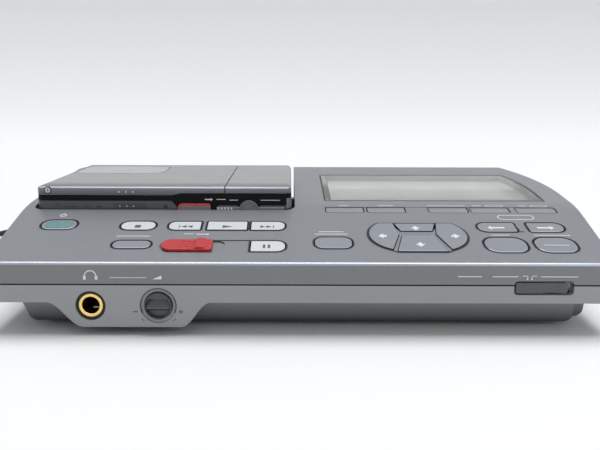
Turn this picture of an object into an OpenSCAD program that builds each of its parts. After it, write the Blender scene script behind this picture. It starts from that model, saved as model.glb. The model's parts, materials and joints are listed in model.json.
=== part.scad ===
// Desktop docking station with a portable disc recorder standing in its bay.
// Sizes are in millimetres. +Z is up, the front faces -Y, and the origin lies on the table
// under the middle of the station. Inside the modules y counts from the front face.

/* [Station case] */
// Overall width of the station
case_w = 242; // [242:1:262]
// Overall depth of the station
case_d = 134; // [134:1:150]
// Height of the key panel at the front face
front_h = 28.4; // [27.6:0.2:31]
// Height of the display panel at the rear edge
rear_h = 49.2; // [48:0.2:53]
// Slope of the key panel in degrees
key_slope = 15.5; // [15:0.25:17]
// Distance from the front face to the knee between key panel and display panel
knee_y = 48; // [48:0.5:52]
// Radius of the knee
knee_r = 86; // [60:2:100]
// Wall thickness of the mouldings
wall = 2.2; // [1.8:0.1:2.6]
// Height of the parting line between upper and lower case
part_z = 20; // [19.6:0.1:20.6]
// Gap that shows at the parting line
part_gap = 0.5; // [0.3:0.1:0.8]
// Radius of the bowed right side
side_r = 130; // [120:5:160]
// Distance from the front face to the widest point of the right side
bow_y = 80; // [76:1:84]
// Flare of the right side towards its widest point in degrees
flare = 3.5; // [2.5:0.25:4]
// Radius of the front corners seen from above
front_r = 5; // [3:0.5:8]
// Radius of the rear left corner seen from above
rear_r = 10; // [6:1:14]
// Radius of the panel's front and rear edges
edge_r = 1.6; // [0.8:0.2:2]

/* [Lower case] */
// Height of the underside of the band below the parting line
band_z = 13; // [12:0.2:13.6]
// Height of the base tub's underside
base_z = 1.5; // [1:0.1:2]
// Distance from the front face to the tub's front wall at its foot
tub_y = 10; // [9:0.5:11]
// Distance from the rear edge to the tub's rear wall
tub_rear = 8; // [6:0.5:10]
// Distance from the case's left edge to the tub's left wall at the band
tub_left = 10; // [9:0.5:12]
// Draft of the tub's left wall from the band to the foot
tub_draft = 4; // [2:0.5:5]
// Distance from the case's right edge to the tub's right wall
tub_right = 16; // [14:0.5:18]
// Radius of the tub's lower edges
tub_r = 4.5; // [3:0.5:5]
// Height of the chin's underside
chin_z = 3.3; // [3:0.1:4]
// Radius of the rubber feet
foot_r = 7; // [5:0.5:8]

/* [Front controls] */
// Distance from the case's left edge to the headphone socket
jack_x = 39.8; // [38:0.2:42]
// Height of the headphone socket and the volume knob
jack_z = 11.7; // [11.2:0.1:12.2]
// Radius of the headphone socket's bore, for a 6.35 mm plug
jack_r = 3.25; // [3.2:0.05:3.4]
// Distance from the case's left edge to the volume knob
knob_x = 65.4; // [63:0.2:68]
// Radius of the volume knob
knob_r = 5.2; // [4.6:0.2:5.6]
// How far the knob's grip stands proud of the front face
knob_out = 1.2; // [0.8:0.1:1.6]
// Width of the input switch's window
switch_w = 21.9; // [20:0.5:24]
// Height of the input switch's window
switch_h = 4.8; // [4.2:0.2:5.4]
// Travel of the input switch
switch_travel = 1.8; // [1.4:0.1:2.2]

/* [Keys] */
// Clearance all round a key in its opening
key_gap = 0.5; // [0.3:0.05:0.6]
// Height of a key above the panel
key_rise = 0.8; // [0.6:0.1:1.2]
// Travel of a key
key_travel = 0.8; // [0.6:0.1:1]
// Travel of the record slider
record_travel = 4.2; // [3.5:0.1:4.6]

/* [Display] */
// Distance from the case's right side to the window's right edge
window_margin = 11; // [10:0.5:13]
// Distance from the recorder bay to the window's left edge
window_gap = 13.5; // [12:0.5:16]
// Distance from the front face to the window's front edge
window_y = 57.5; // [57:0.5:60]
// Depth of the window from front to rear
window_d = 54.5; // [50:0.5:56]
// Thickness of the window
window_t = 1.6; // [1.2:0.1:1.8]
// Width of the sloping bezel that shows inside the window
bezel = 3.2; // [2.5:0.1:4]

/* [Recorder] */
// Width of the recorder
rec_w = 110.5; // [108:0.5:111]
// Depth of the recorder
rec_d = 83; // [80:0.5:84]
// Height of the recorder
rec_h = 31.1; // [30:0.1:33]
// Radius of the recorder's upright corners
rec_r = 3; // [2.5:0.5:4]
// Wall thickness of the recorder's mouldings
rec_wall = 1.6; // [1.4:0.1:1.8]
// Thickness of the lid and the battery cover at the front
lid_h = 3.9; // [3.5:0.1:4.3]
// Width of the disc lid
lid_w = 81.5; // [81:0.5:83]
// Distance from the station's front face to the recorder bay
bay_y = 44.5; // [44:0.5:45.5]
// Clearance between recorder and bay at the sides
bay_gap = 1.5; // [1.2:0.1:1.8]
// Width of the rim left of the bay
bay_rim = 3.7; // [3.5:0.1:4.2]
// Height of the bay's floor
bay_z = 19.3; // [19:0.1:19.6]
// Height of the low wall behind the bay
bay_rear_h = 32; // [30:1:36]

/* [Lead] */
// Diameter of the mains lead
lead_d = 3; // [2.6:0.1:3.2]
// Turns of the coil in each layer before it climbs
coil_turns = 3; // [2:1:4]
// Spacing of the coil's turns and layers
coil_pitch = 3.9; // [3.8:0.1:4.4]

/* [Hidden] */
$fn = 48;
// Number of steps on the large arcs
arc_fn = 180;
// Running clearance of shafts and pins
run = 0.05;
// Gap between pieces that move past each other
clear = 0.3;
// Seam between pieces of one assembly
seam = 0.2;
// How far the side profile reaches past the outline that cuts it
skin = 0.05;

case_grey = "#7d8085";
tub_grey = "#4c4f53";
key_white = "#e6e8e6";
dark_grey = "#3b3d40";
board_green = "#2f5d3a";
steel = "#a9adb2";
black = "#17181b";
red = "#c03b42";

function from_left(a) = a - case_w / 2;
function from_right(a) = case_w / 2 - a;

// Places on the key panel are given for a case of this width, and spread with the case
layout_w = 242;
spread = case_w / layout_w;
function key_left(a) = from_left(a * spread);
function key_right(a) = from_right(a * spread);

// Moves the front-face coordinates so that the whole object is centred on the origin
module from_front() {
    translate([0, (knob_out - case_d) / 2, 0]) children();
}

// Outlines with round corners
function unit(v) = v / norm(v);
function corner_half(a, b, c) = acos(unit(a - b) * unit(c - b)) / 2;
function corner_cut(a, b, c, r) = r / tan(corner_half(a, b, c));
function corner_points(a, b, c, r) =
    r > 0 ? [for (p = [a, c]) b + unit(p - b) * corner_cut(a, b, c, r)] : [b];
function corner_centre(a, b, c, r) = b + unit(unit(a - b) + unit(c - b)) * r / sin(corner_half(a, b, c));

module rounded_outline(points, radii) {
    n = len(points);
    corners = [for (i = [0 : n - 1]) [points[(i + n - 1) % n], points[i], points[(i + 1) % n], radii[i]]];
    polygon([for (k = corners) each corner_points(k[0], k[1], k[2], k[3])]);
    for (k = corners)
        if (k[3] > 0)
            translate(corner_centre(k[0], k[1], k[2], k[3])) circle(r = k[3]);
}

module rounded_rect(size, r) {
    x = size[0];
    y = size[1];
    rounded_outline([[0, 0], [x, 0], [x, y], [0, y]], [r, r, r, r]);
}

// A shape drawn in y and z, run along x, and one drawn in x and z, run along y
module along_x(x0, x1) {
    translate([x0, 0, 0]) rotate([90, 0, 90]) linear_extrude(x1 - x0) children();
}

module along_y(y0, y1) {
    translate([0, y1, 0]) rotate([90, 0, 0]) linear_extrude(y1 - y0) children();
}

// Round pieces whose axis runs from front to rear, starting at y
module front_cylinder(x, y, z, r, h) {
    translate([x, y, z]) rotate([-90, 0, 0]) cylinder(r = r, h = h);
}

module block(x0, x1, y0, y1, z0, z1) {
    translate([x0, y0, z0]) cube([x1 - x0, y1 - y0, z1 - z0]);
}

// Side profile of the case, moved in by t: key panel, knee, display panel
knee_h = front_h + knee_y * tan(key_slope);
display_slope = atan((rear_h - knee_h) / (case_d - knee_y));
knee_slope = (key_slope + display_slope) / 2;
knee_drop = knee_r * (1 / cos((key_slope - display_slope) / 2) - 1);

function key_h(y, t) = front_h + y * tan(key_slope) - t / cos(key_slope);
function display_h(y, t) = knee_h + (y - knee_y) * tan(display_slope) - t / cos(display_slope);
function knee_in(t) =
    knee_y + t * (1 / cos(key_slope) - 1 / cos(display_slope)) / (tan(key_slope) - tan(display_slope));

module profile(t, low) {
    front = t - skin;
    knee = knee_in(t);
    rear = case_d - t + skin;
    r = max(edge_r - t, 0);
    intersection() {
        rounded_outline(
            [[front, low - skin], [front, key_h(front, t)], [knee, key_h(knee, t)], [rear, display_h(rear, t)],
             [rear, low - skin]],
            [0, r, knee_r - t, r, 0], $fn = arc_fn);
        translate([front, low - skin]) square([rear - front, rear_h]);
    }
}

// Outline of the case seen from above, moved in by t: straight left side, bowed right side
side_c = [case_w / 2 - side_r, bow_y];

function side_start(t) = side_c + (side_r - t) * [cos(flare), -sin(flare)];
function side_front(t) = side_start(t)[0] - (side_start(t)[1] - t) * tan(flare);
function side_rear(t) = side_c[0] + sqrt(pow(side_r - t, 2) - pow(case_d - t - bow_y, 2));

module plan(t) {
    start = side_start(t);
    rear = case_d - t;
    left = from_left(t);
    corner = max(front_r - t, 0.2);
    rounded_outline(
        [[left, t], [side_front(t), t], start, [side_rear(t), rear], [left, rear]],
        [corner, corner, 0, 0, max(rear_r - t, 0.2)]);
    intersection() {
        translate(side_c) circle(r = side_r - t, $fn = 2 * arc_fn);
        polygon([start, [case_w, start[1]], [case_w, rear], [side_rear(t), rear]]);
    }
}

module case_solid(t, low) {
    intersection() {
        along_x(-case_w, case_w) profile(t, low);
        translate([0, 0, low]) linear_extrude(rear_h) plan(t);
    }
}

// Frames of the two rows of keys: x across, y up the slope, z out of the panel
module on_key_panel() {
    translate([0, 0, front_h]) rotate([key_slope, 0, 0]) children();
}

module on_function_row() {
    translate([0, knee_y, knee_h]) rotate([knee_slope, 0, 0]) translate([0, 0, -knee_drop]) children();
}

// Keys: left, right, front, rear, and the radii front left, front right, rear right, rear left
row_1 = [27, 34.2];
row_2 = [9.1, 17.4];
power_key = [key_left(12.6), key_left(27), 27.3, 35.4, [3.9, 3.9, 3.9, 3.9]];
stop_key = [key_left(45.6), key_left(59.7), row_1[0], row_1[1], [3.4, 3.4, 3.4, 3.4]];
previous_key = [key_left(65.3), key_left(78.4), row_1[0], row_1[1], [3, 0.4, 0.4, 3]];
play_key = [key_left(81.3), key_left(97.4), row_1[0], row_1[1], [0.4, 0.4, 0.4, 0.4]];
next_key = [key_left(99.2), key_left(112.9), row_1[0], row_1[1], [0.4, 3, 3, 0.4]];
pause_key = [key_left(99.8), key_left(113.2), row_2[0], row_2[1], [0.6, 3.6, 3.6, 0.6]];
end_search_key = [key_left(45.6), key_left(60.5), 11.4, 17.4, [2.8, 2.8, 2.8, 2.8]];
character_key = [key_right(117.1), key_right(102.5), 11.7, 20.6, [3.6, 3.6, 3.6, 3.6]];
arrow_left_key = [key_right(49.7), key_right(34.2), 26, 33.8, [3.8, 1, 1, 3.8]];
arrow_right_key = [key_right(29), key_right(14.4), 26, 33.8, [1, 3.8, 3.8, 1]];
oval_left_key = [key_right(50.4), key_right(34), 8.9, 20.8, [5, 5, 5, 5]];
oval_right_key = [key_right(30.7), key_right(14.6), 8.9, 20.8, [5, 5, 5, 5]];
panel_keys = [power_key, stop_key, previous_key, play_key, next_key, pause_key, end_search_key, character_key,
    arrow_left_key, arrow_right_key, oval_left_key, oval_right_key];

// Cursor keys, about the middle of their cluster
function spread_out(points) = [for (p = points) [p[0] * spread, p[1]]];
cursor_c = [key_right(75.5), 21.2];
cursor_side = spread_out([[-26, -16], [-13.2, -16], [-7.6, 1.8], [-9, 11.4], [-26, 11.4]]);
cursor_side_r = [0, 0, 0.8, 0.6, 0];
cursor_bow = [-6.5 * spread, 1.5];
cursor_bow_r = 13 * spread;
cursor_up = spread_out([[-6.4, 4.8], [6.4, 4.8], [8.3, 11.2], [-8.3, 11.2]]);
cursor_up_hole = spread_out([[-6.4, 4.8], [6.4, 4.8], [9.4, 11.2], [-9.4, 11.2]]);
cursor_down = spread_out([[-9.8, -12], [9.8, -12], [6.4, 0.8], [-6.4, 0.8]]);
cursor_r = [0.6, 0.6, 0.6, 0.6];
cursor_gap = 0.6 * key_gap;

module key_outline(key, grow) {
    rounded_outline(
        [[key[0] - grow, key[2] - grow], [key[1] + grow, key[2] - grow],
         [key[1] + grow, key[3] + grow], [key[0] - grow, key[3] + grow]],
        [for (r = key[4]) r + grow]);
}

// Moves each edge of an outline that runs counter-clockwise outwards by grow
function edge_out(a, b) = let (d = unit(b - a)) [d[1], -d[0]];
function grown_corner(a, b, c, grow) =
    let (m = edge_out(a, b), n = edge_out(b, c)) b + (m + n) * grow / (1 + m * n);
function grown(points, grow) = let (n = len(points))
    [for (i = [0 : n - 1]) grown_corner(points[(i + n - 1) % n], points[i], points[(i + 1) % n], grow)];

module cursor_outline(points, radii, grow) {
    translate(cursor_c) rounded_outline(grown(points, grow), [for (r = radii) r > 0 ? r + grow : 0]);
}

module cursor_left_outline(grow) {
    intersection() {
        cursor_outline(cursor_side, cursor_side_r, grow);
        translate(cursor_c + cursor_bow) circle(r = cursor_bow_r + grow, $fn = 96);
    }
}

module cursor_right_outline(grow) {
    translate([2 * cursor_c[0], 0]) mirror([1, 0]) cursor_left_outline(grow);
}

// How a key sits: cap through the panel, lips under it, and a stem down to the key board's switch
lip_t = 0.9;
lip_out = 1;
lip_gap = 0.15;
stem_r = 1.6;
switch_t = 1;
board_t = 1.6;
stem_low = wall + lip_gap + lip_t + 0.9;
switch_top = stem_low + key_travel + seam;
key_board_top = switch_top + switch_t;

module key_body(middle, width, depth) {
    translate([0, 0, -wall - lip_gap - lip_t]) linear_extrude(wall + lip_gap + lip_t + key_rise) children();
    translate([middle[0] - width / 2, middle[1] - depth / 2 - lip_out, -wall - lip_gap - lip_t])
        cube([width, depth + 2 * lip_out, lip_t]);
    translate([middle[0], middle[1], -stem_low]) cylinder(r = stem_r, h = stem_low);
}

function key_middle(key) = [(key[0] + key[1]) / 2, (key[2] + key[3]) / 2];

module panel_key(key) {
    key_body(key_middle(key), key[1] - key[0] - 2 * max(key[4]), key[3] - key[2]) key_outline(key, 0);
}

module key_opening(depth) {
    translate([0, 0, -depth]) linear_extrude(depth + 2 * key_rise) children();
}

// Middles of the cursor keys' stems
cursor_stems = [for (p = spread_out([[-14, 0], [14, 0], [0, 8.1], [0, -6.5]])) cursor_c + p];
cursor_lips = [[6, 19], [6, 19], [11, 5], [11, 10]];

// Record slider, its slot, and the shallow recess that it shares with the pause key
slider_key = [key_left(65), key_left(84.8), row_2[0], row_2[1], [4, 1.2, 1.2, 4]];
slider_well = [key_left(64.5), slider_key[1] + record_travel + 0.5, row_2[0] - 0.5, row_2[1] + 0.5, [4.4, 2.6, 2.6, 4.4]];
slider_recess = [key_left(64.2), key_left(114.2), row_2[0] - 0.9, row_2[1] + 0.9, [4.6, 4.4, 4.4, 4.6]];
recess_t = 0.3;
well_t = 0.8;
slider_t = 0.9;
hump_x = key_left(80.2);
hump_h = 0.9;
neck_w = 8;
neck_d = 4;

// Main places of the bay and the recorder
bay_x0 = from_left(bay_rim);
rec_x0 = bay_x0 + bay_gap;
rec_y0 = bay_y + bay_gap;
rec_z0 = bay_z + seam;
bay_x1 = rec_x0 + rec_w + bay_gap;
bay_y1 = rec_y0 + rec_d + bay_gap;
bay_floor_t = 2.3;

// Function keys stand in front of the knee, in shares of the width right of the bay
block_w = case_w / 2 - bay_x1;
function_ends = [[0.109, 0.237], [0.252, 0.381], [0.465, 0.598], [0.611, 0.741], [0.769, 0.903]];
function_v = [-5.9, -0.4];
function function_key(i) = [bay_x1 + function_ends[i][0] * block_w, bay_x1 + function_ends[i][1] * block_w,
    function_v[0], function_v[1], [0.9, 0.9, 0.4, 0.4]];
bay_r = rec_r + bay_gap;

module in_recorder() {
    from_front() translate([rec_x0, rec_y0, rec_z0]) children();
}

// Screw columns that hold the two halves of the case together
screw_at = [[key_left(20), 17.5], [key_right(98.9), 17.5], [key_left(20), case_d - 20], [key_right(29), case_d - 14.5]];
boss_r = 2.9;
boss_z = 13.5;
screw_r = 1.3;
screw_top = boss_z + 4;
screw_head_r = 2.6;
screw_head_t = 2;
head_z = base_z + 3;

// Key board posts, between the rows of keys
post_at = [[key_left(35.5), 23.2], [key_left(89), 22.2], [key_right(108.5), 25.5], [key_right(53.5), 23.2],
    [key_right(10), 23.2]];
post_r = 1.9;

// Window, rim and LCD, by depth below the display panel
rim_t = 3.8;
rim_w = 2.2;
lcd_t = 2.6;
window_x = bay_x1 + window_gap;

module window_outline(grow) {
    intersection() {
        plan(window_margin - grow);
        translate([window_x - grow, window_y - grow])
            square([case_w, window_d + 2 * grow]);
    }
}

// A layer of the case between depths a and b under the panel, cut to an outline
module panel_layer(a, b) {
    intersection() {
        difference() {
            along_x(-case_w, case_w) profile(a, part_z);
            along_x(-case_w, case_w) profile(b, part_z - 1);
        }
        linear_extrude(2 * rear_h) children();
    }
}

// Rear sockets
socket_x0 = bay_x1 + 16.8;
socket_pitch = 14;
socket_n = 4;
socket_z = 31;
socket_w = socket_pitch * (socket_n + 1) - 4;
socket_h = 13;
socket_depth = 8;
socket_wall = 2;
barrel_r = 4.15;
barrel_bore_r = 1.6;
optical_w = 8;

module rear_opening(grow) {
    block(socket_x0 - grow, socket_x0 + socket_w + grow, case_d - wall - 1, case_d + 1,
        socket_z - socket_h / 2 - grow, socket_z + socket_h / 2 + grow);
}

// Input switch window
switch_x = from_right(31.4);
switch_z = part_z - 1;
switch_r = 1.2;
switch_knob_w = switch_w - switch_travel - 2 * clear;

module switch_window(grow) {
    translate([switch_x - switch_w / 2 - grow, switch_z - switch_h / 2 - grow])
        rounded_rect([switch_w + 2 * grow, switch_h + 2 * grow], switch_r + grow);
}

groove_w = 0.55;
groove_t = 0.4;

module upper_case() {
    case_low = part_z + part_gap / 2;
    tub_low = bay_z - bay_floor_t;
    color(case_grey) from_front() difference() {
        union() {
            difference() {
                case_solid(0, case_low);
                difference() {
                    case_solid(wall, case_low - 1);
                    block(-case_w, bay_x1 + wall, bay_y - wall, case_d + 1, 0, 2 * rear_h);
                }
            }
            // Tub of the recorder bay, which reaches down into the lower case
            intersection() {
                translate([0, 0, tub_low]) linear_extrude(case_low + 1 - tub_low) plan(wall + clear);
                block(-case_w, bay_x1 + wall, bay_y - wall, case_d + 1, 0, 2 * rear_h);
            }
            // Rim that carries the window and the LCD
            panel_layer(wall / 2, rim_t) difference() {
                window_outline(rim_w);
                window_outline(-bezel);
            }
            // Columns for the case screws and posts for the key board
            intersection() {
                case_solid(wall / 2, boss_z);
                for (p = screw_at) translate([p[0], p[1], boss_z]) cylinder(r = boss_r, h = rear_h);
            }
            on_key_panel() for (p = post_at)
                translate([p[0], p[1], -key_board_top]) cylinder(r = post_r, h = key_board_top - wall / 2);
        }
        // Recorder bay, open at the rear above a low wall
        translate([bay_x0, bay_y, bay_z]) linear_extrude(rear_h)
            rounded_rect([bay_x1 - bay_x0, bay_y1 - bay_y], bay_r);
        block(bay_x0, bay_x1, bay_y1 - bay_r, case_d + 1, bay_rear_h, 2 * rear_h);
        // Key openings
        on_key_panel() {
            for (key = panel_keys) key_opening(wall + lip_gap) key_outline(key, key_gap);
            key_opening(wall + lip_gap) cursor_left_outline(cursor_gap);
            key_opening(wall + lip_gap) cursor_right_outline(cursor_gap);
            key_opening(wall + lip_gap) cursor_outline(cursor_up_hole, cursor_r, cursor_gap);
            key_opening(wall + lip_gap) cursor_outline(cursor_down, cursor_r, cursor_gap);
            translate([0, 0, -recess_t]) linear_extrude(2) key_outline(slider_recess, 0);
            translate([0, 0, -well_t]) linear_extrude(2) key_outline(slider_well, 0);
            slider_slot();
        }
        on_function_row() for (i = [0 : len(function_ends) - 1])
            key_opening(wall + 1.5) key_outline(function_key(i), key_gap);
        // Groove along the rear of the function keys
        on_function_row() translate([function_key(0)[0], function_key(0)[3], -groove_t])
            cube([function_key(len(function_ends) - 1)[1] - function_key(0)[0], groove_w, 2]);
        // Seat of the window and the opening under it
        panel_layer(-1, window_t) window_outline(seam);
        panel_layer(-1, rim_t + 1) window_outline(-bezel);
        rear_opening(0);
        along_y(-1, wall + 1) switch_window(0);
        for (p = screw_at) translate([p[0], p[1], boss_z - 1]) cylinder(r = screw_r + run, h = screw_top + 0.3 - boss_z + 1);
        dock_block(seam);
    }
}

module slider_slot() {
    x = (slider_key[0] + slider_key[1]) / 2;
    v = (slider_key[2] + slider_key[3]) / 2;
    translate([x - neck_w / 2 - clear, v - neck_d / 2 - clear, -2 * wall])
        cube([neck_w + record_travel + 2 * clear, neck_d + 2 * clear, 3 * wall]);
}

// Lower case: band, drafted base tub and chin
tub_wide_y = 4.5;
tub_wide_x = 5.7;
tub_wide_z = 0.7;
chin_left = [23, 36.8];
chin_right = [85.1, 73.9];
chin_steps = 14;
chin_d = 14;

module tub_front(t, left, right, low, top) {
    rounded_outline(
        [[from_left(left) + t, top], [from_left(left + tub_draft) + t, low + t],
         [from_right(right) - t, low + t], [from_right(right) - t, top]],
        [0, max(tub_r - t, 0.3), max(tub_r - t, 0.3), 0]);
}

module tub_side(t, front, low, top) {
    lean = 3;
    rounded_outline(
        [[front - lean + t, top], [front + t, low + t], [case_d - tub_rear - t, low + t], [case_d - tub_rear - t, top]],
        [0, max(tub_r - t, 0.3), max(tub_r - t, 0.3), 0]);
}

module tub(t, top) {
    intersection() {
        along_y(0, case_d) tub_front(t, tub_left, tub_right, base_z, top);
        along_x(-case_w, case_w) tub_side(t, tub_y, base_z, top);
    }
    intersection() {
        along_y(0, case_d) tub_front(t, 2 * tub_left, tub_right - tub_wide_x, base_z + tub_wide_z, top);
        along_x(-case_w, case_w) tub_side(t, tub_y + tub_wide_y, base_z + tub_wide_z, top);
    }
}

// One side of the chin: an even S-curve from the band down to the chin's underside
function chin_curve(ends, t, low) = [for (i = [0 : chin_steps]) let (s = i / chin_steps)
    [from_left(ends[0] + (ends[1] - ends[0]) * s) + t, band_z - (band_z - low) * (1 - cos(180 * s)) / 2]];

module chin(t, depth, top) {
    low = chin_z + t;
    right = chin_curve(chin_right, -t, low);
    along_y(t, depth) polygon(concat(
        [[from_left(chin_left[0]) + t, top]],
        chin_curve(chin_left, t, low),
        [for (i = [chin_steps : -1 : 0]) right[i]],
        [[from_left(chin_right[0]) - t, top]]));
}

foot_at = [[from_left(34), 26], [from_right(36), 26], [from_left(34), case_d - 30], [from_right(44), case_d - 22]];
foot_seat = 0.8;
board_z = 8;
board_at = [[from_left(36), from_right(76)], [34, case_d - 18]];
standoff_at = [for (x = [board_at[0][0] + 8, board_at[0][1] - 8]) for (y = [board_at[1][0] + 6, board_at[1][1] - 8]) [x, y]];
standoff_r = 3;
tongue_h = 2;
tongue_t = 1.2;
tongue_in = wall + seam + tongue_t;
lead_x = from_left(61);
lead_z = 9;
boot_neck_r = 2.4;
case_hole_r = 5.74;
collar_r = case_hole_r + 0.36;
knob_dish_r = 6.8;
knob_dish_t = 0.5;

module tongue_ring(inset, height) {
    translate([0, 0, part_z - part_gap / 2 - 2 * tongue_h]) linear_extrude(height) difference() {
        plan(inset);
        plan(tongue_in);
    }
}

module lower_case() {
    top = part_z - part_gap / 2;
    color(tub_grey) from_front() difference() {
        union() {
            difference() {
                union() {
                    translate([0, 0, band_z]) linear_extrude(top - band_z) plan(0);
                    tub(0, band_z + 1);
                    chin(0, chin_d, band_z + 1);
                }
                translate([0, 0, band_z + wall]) linear_extrude(part_z) plan(wall);
                tub(wall, band_z + wall + 1);
                chin(wall, chin_d + 2, band_z + wall + 1);
            }
            // Tongue that closes the parting line from inside, left out along the bay and at the switch
            difference() {
                union() {
                    tongue_ring(wall + seam, 3 * tongue_h);
                    tongue_ring(wall / 2, 2 * tongue_h);
                }
                block(-case_w, bay_x1 + wall + 1, bay_y - wall - 1, case_d, band_z, part_z + 9);
                block(switch_x - switch_w / 2 - 4, switch_x + switch_w / 2 + 4, 0, 12, band_z, part_z + 9);
            }
            for (p = screw_at) translate([p[0], p[1], base_z + 0.5]) cylinder(r = boss_r + 1, h = boss_z - base_z - 0.5);
            for (p = standoff_at) translate([p[0], p[1], base_z + 0.5]) cylinder(r = standoff_r, h = board_z - base_z - 0.5);
        }
        for (p = screw_at) {
            translate([p[0], p[1], 0]) cylinder(r = screw_r + 0.2, h = boss_z + 1);
            translate([p[0], p[1], 0]) cylinder(r = screw_head_r + clear, h = head_z);
        }
        for (p = foot_at) translate([p[0], p[1], 0]) cylinder(r = foot_r + seam / 2, h = base_z + foot_seat);
        // Headphone socket, volume knob and its dish
        front_cylinder(from_left(jack_x), -1, jack_z, case_hole_r, tongue_in + 2);
        front_cylinder(from_left(jack_x), wall, jack_z, collar_r + seam, tongue_in);
        front_cylinder(from_left(knob_x), -1, jack_z, knob_r + clear, tongue_in + 2);
        front_cylinder(from_left(knob_x), -1, jack_z, knob_dish_r, 1 + knob_dish_t);
        along_y(-1, wall + 1.6) switch_window(0);
        front_cylinder(lead_x, case_d - tub_rear - 2 * wall, lead_z, boot_neck_r + run, 3 * wall);
    }
}

module rubber_feet() {
    color(black) from_front() for (p = foot_at)
        translate([p[0], p[1], 0]) cylinder(r = foot_r, h = base_z + foot_seat);
}

module case_screws() {
    color(steel) from_front() for (p = screw_at) translate([p[0], p[1], head_z - screw_head_t]) difference() {
        union() {
            cylinder(r = screw_head_r, h = screw_head_t);
            cylinder(r = screw_r, h = screw_top - head_z + screw_head_t);
        }
        // Cross recess
        for (a = [0, 90]) rotate(a) translate([-1.6, -0.3, -0.1]) cube([3.2, 0.6, 1.1]);
    }
}

module display_window() {
    color("#b9bec0") from_front() panel_layer(0, window_t) window_outline(0);
}

module lcd_panel() {
    color("#b6bab2") from_front() panel_layer(rim_t, rim_t + lcd_t) window_outline(-bezel + rim_w);
}

module key_board() {
    rear_left = (bay_y - wall - 2) / cos(key_slope) - key_board_top * tan(key_slope);
    rear_right = (knee_y + 3) / cos(key_slope) - key_board_top * tan(key_slope);
    front = 5;
    low = -key_board_top - board_t;
    color(board_green) from_front() difference() {
        union() {
            on_key_panel() {
                translate([from_left(6), front, low]) cube([case_w - 14, rear_left - front, board_t]);
                translate([bay_x1 + 8, front, low]) cube([from_right(8) - bay_x1 - 8, rear_right - front, board_t]);
                for (key = panel_keys) board_switch(key_middle(key));
                for (p = cursor_stems) board_switch(p);
            }
            for (i = [0 : len(function_ends) - 1]) function_switch(i);
        }
        for (p = screw_at) translate([p[0], p[1], 0]) cylinder(r = boss_r + clear, h = rear_h);
    }
}

module board_switch(p) {
    translate([p[0] - 3, p[1] - 3, -key_board_top - board_t / 2]) cube([6, 6, switch_t + board_t / 2]);
}

// Function keys are lower than the board's plane, so their switches are as tall as the gap allows
module function_switch(i) {
    key = function_key(i);
    p = key_middle(key);
    intersection() {
        on_function_row() translate([p[0] - 3, p[1] - 2, -switch_top - 8]) cube([6, 4, 8]);
        on_key_panel() translate([-case_w, 0, -key_board_top - board_t / 2]) cube([2 * case_w, 2 * case_d, 20]);
    }
}

module main_board() {
    x0 = board_at[0][0];
    y0 = board_at[1][0];
    wide = board_at[0][1] - x0;
    deep = board_at[1][1] - y0;
    color(board_green) from_front() {
        block(x0, x0 + wide, y0, y0 + deep, board_z, board_z + board_t);
        translate([x0, y0, board_z + board_t]) {
            // Chips, capacitors and a ribbon socket, in shares of the board
            for (c = [[0.12, 0.22, 12, 12, 2.4], [0.31, 0.32, 18, 18, 2.6], [0.52, 0.61, 14, 10, 2.2], [0.18, 0.66, 16, 8, 3]])
                translate([c[0] * wide, c[1] * deep, 0]) cube([c[2], c[3], c[4]]);
            for (c = [[0.69, 0.32], [0.69, 0.46], [0.78, 0.39]])
                translate([c[0] * wide, c[1] * deep, 0]) cylinder(r = 4, h = 5.4);
            translate([0.49 * wide, 2, 0]) cube([24, 5, 5]);
        }
    }
}

supply_in = 70;
core_w = 34;
core_d = 18;
core_h = 28;

module power_supply() {
    x = from_right(supply_in);
    y = case_d / 2 - 1;
    z = base_z + wall;
    color("#8a7f6a") from_front() {
        // Laminated core with the winding through its window
        block(x, x + core_w, y, y + core_d, z, z + core_h);
        block(x + 0.2 * core_w, x + 0.8 * core_w, y - 0.39 * core_d, y + 1.39 * core_d, z + 0.18 * core_h,
            z + 0.82 * core_h);
        block(x - 0.15 * core_w, x + 1.15 * core_w, y + core_d / 9, y + core_d * 8 / 9, z, z + 1.5);
    }
}

module rear_sockets() {
    y1 = case_d - wall;
    y0 = y1 - socket_depth - socket_wall;
    color(dark_grey) from_front() {
        difference() {
            block(socket_x0 - socket_wall, socket_x0 + socket_w + socket_wall, y0, y1,
                socket_z - socket_h / 2 - socket_wall, socket_z + socket_h / 2 + socket_wall);
            block(socket_x0, socket_x0 + socket_w, y0 + socket_wall, y1 + 1,
                socket_z - socket_h / 2, socket_z + socket_h / 2);
            translate([socket_x0 + optical_w, 0, 0])
                block(-optical_w / 4, optical_w / 4, y0 - 1, y1, socket_z - optical_w / 4, socket_z + optical_w / 4);
        }
        // Line sockets
        for (i = [1 : socket_n]) difference() {
            front_cylinder(socket_x0 + 4 + i * socket_pitch, y0 + socket_wall / 2, socket_z, barrel_r,
                socket_depth + socket_wall / 2);
            front_cylinder(socket_x0 + 4 + i * socket_pitch, y0 + socket_wall, socket_z, barrel_bore_r,
                socket_depth + 1);
        }
        // Frame of the optical socket
        difference() {
            block(socket_x0 + optical_w / 2, socket_x0 + 1.5 * optical_w, y0 + socket_wall / 2, y1 - 2,
                socket_z - optical_w / 2, socket_z + optical_w / 2);
            block(socket_x0 + 0.75 * optical_w, socket_x0 + 1.25 * optical_w, y0 - 1, y1,
                socket_z - optical_w / 4, socket_z + optical_w / 4);
        }
    }
}

// Dock connector through the floor of the bay, into a pocket in the recorder's underside
dock_w = 30;
dock_d = 8;
dock_h = 2.6;
dock_x = rec_x0 + 0.516 * rec_w;
dock_y = rec_y0 + 0.723 * rec_d;

module dock_block(grow) {
    block(dock_x - dock_w / 2 - grow, dock_x + dock_w / 2 + grow, dock_y - dock_d / 2 - grow,
        dock_y + dock_d / 2 + grow, bay_z - bay_floor_t - 1, rec_z0 + dock_h);
}

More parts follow.
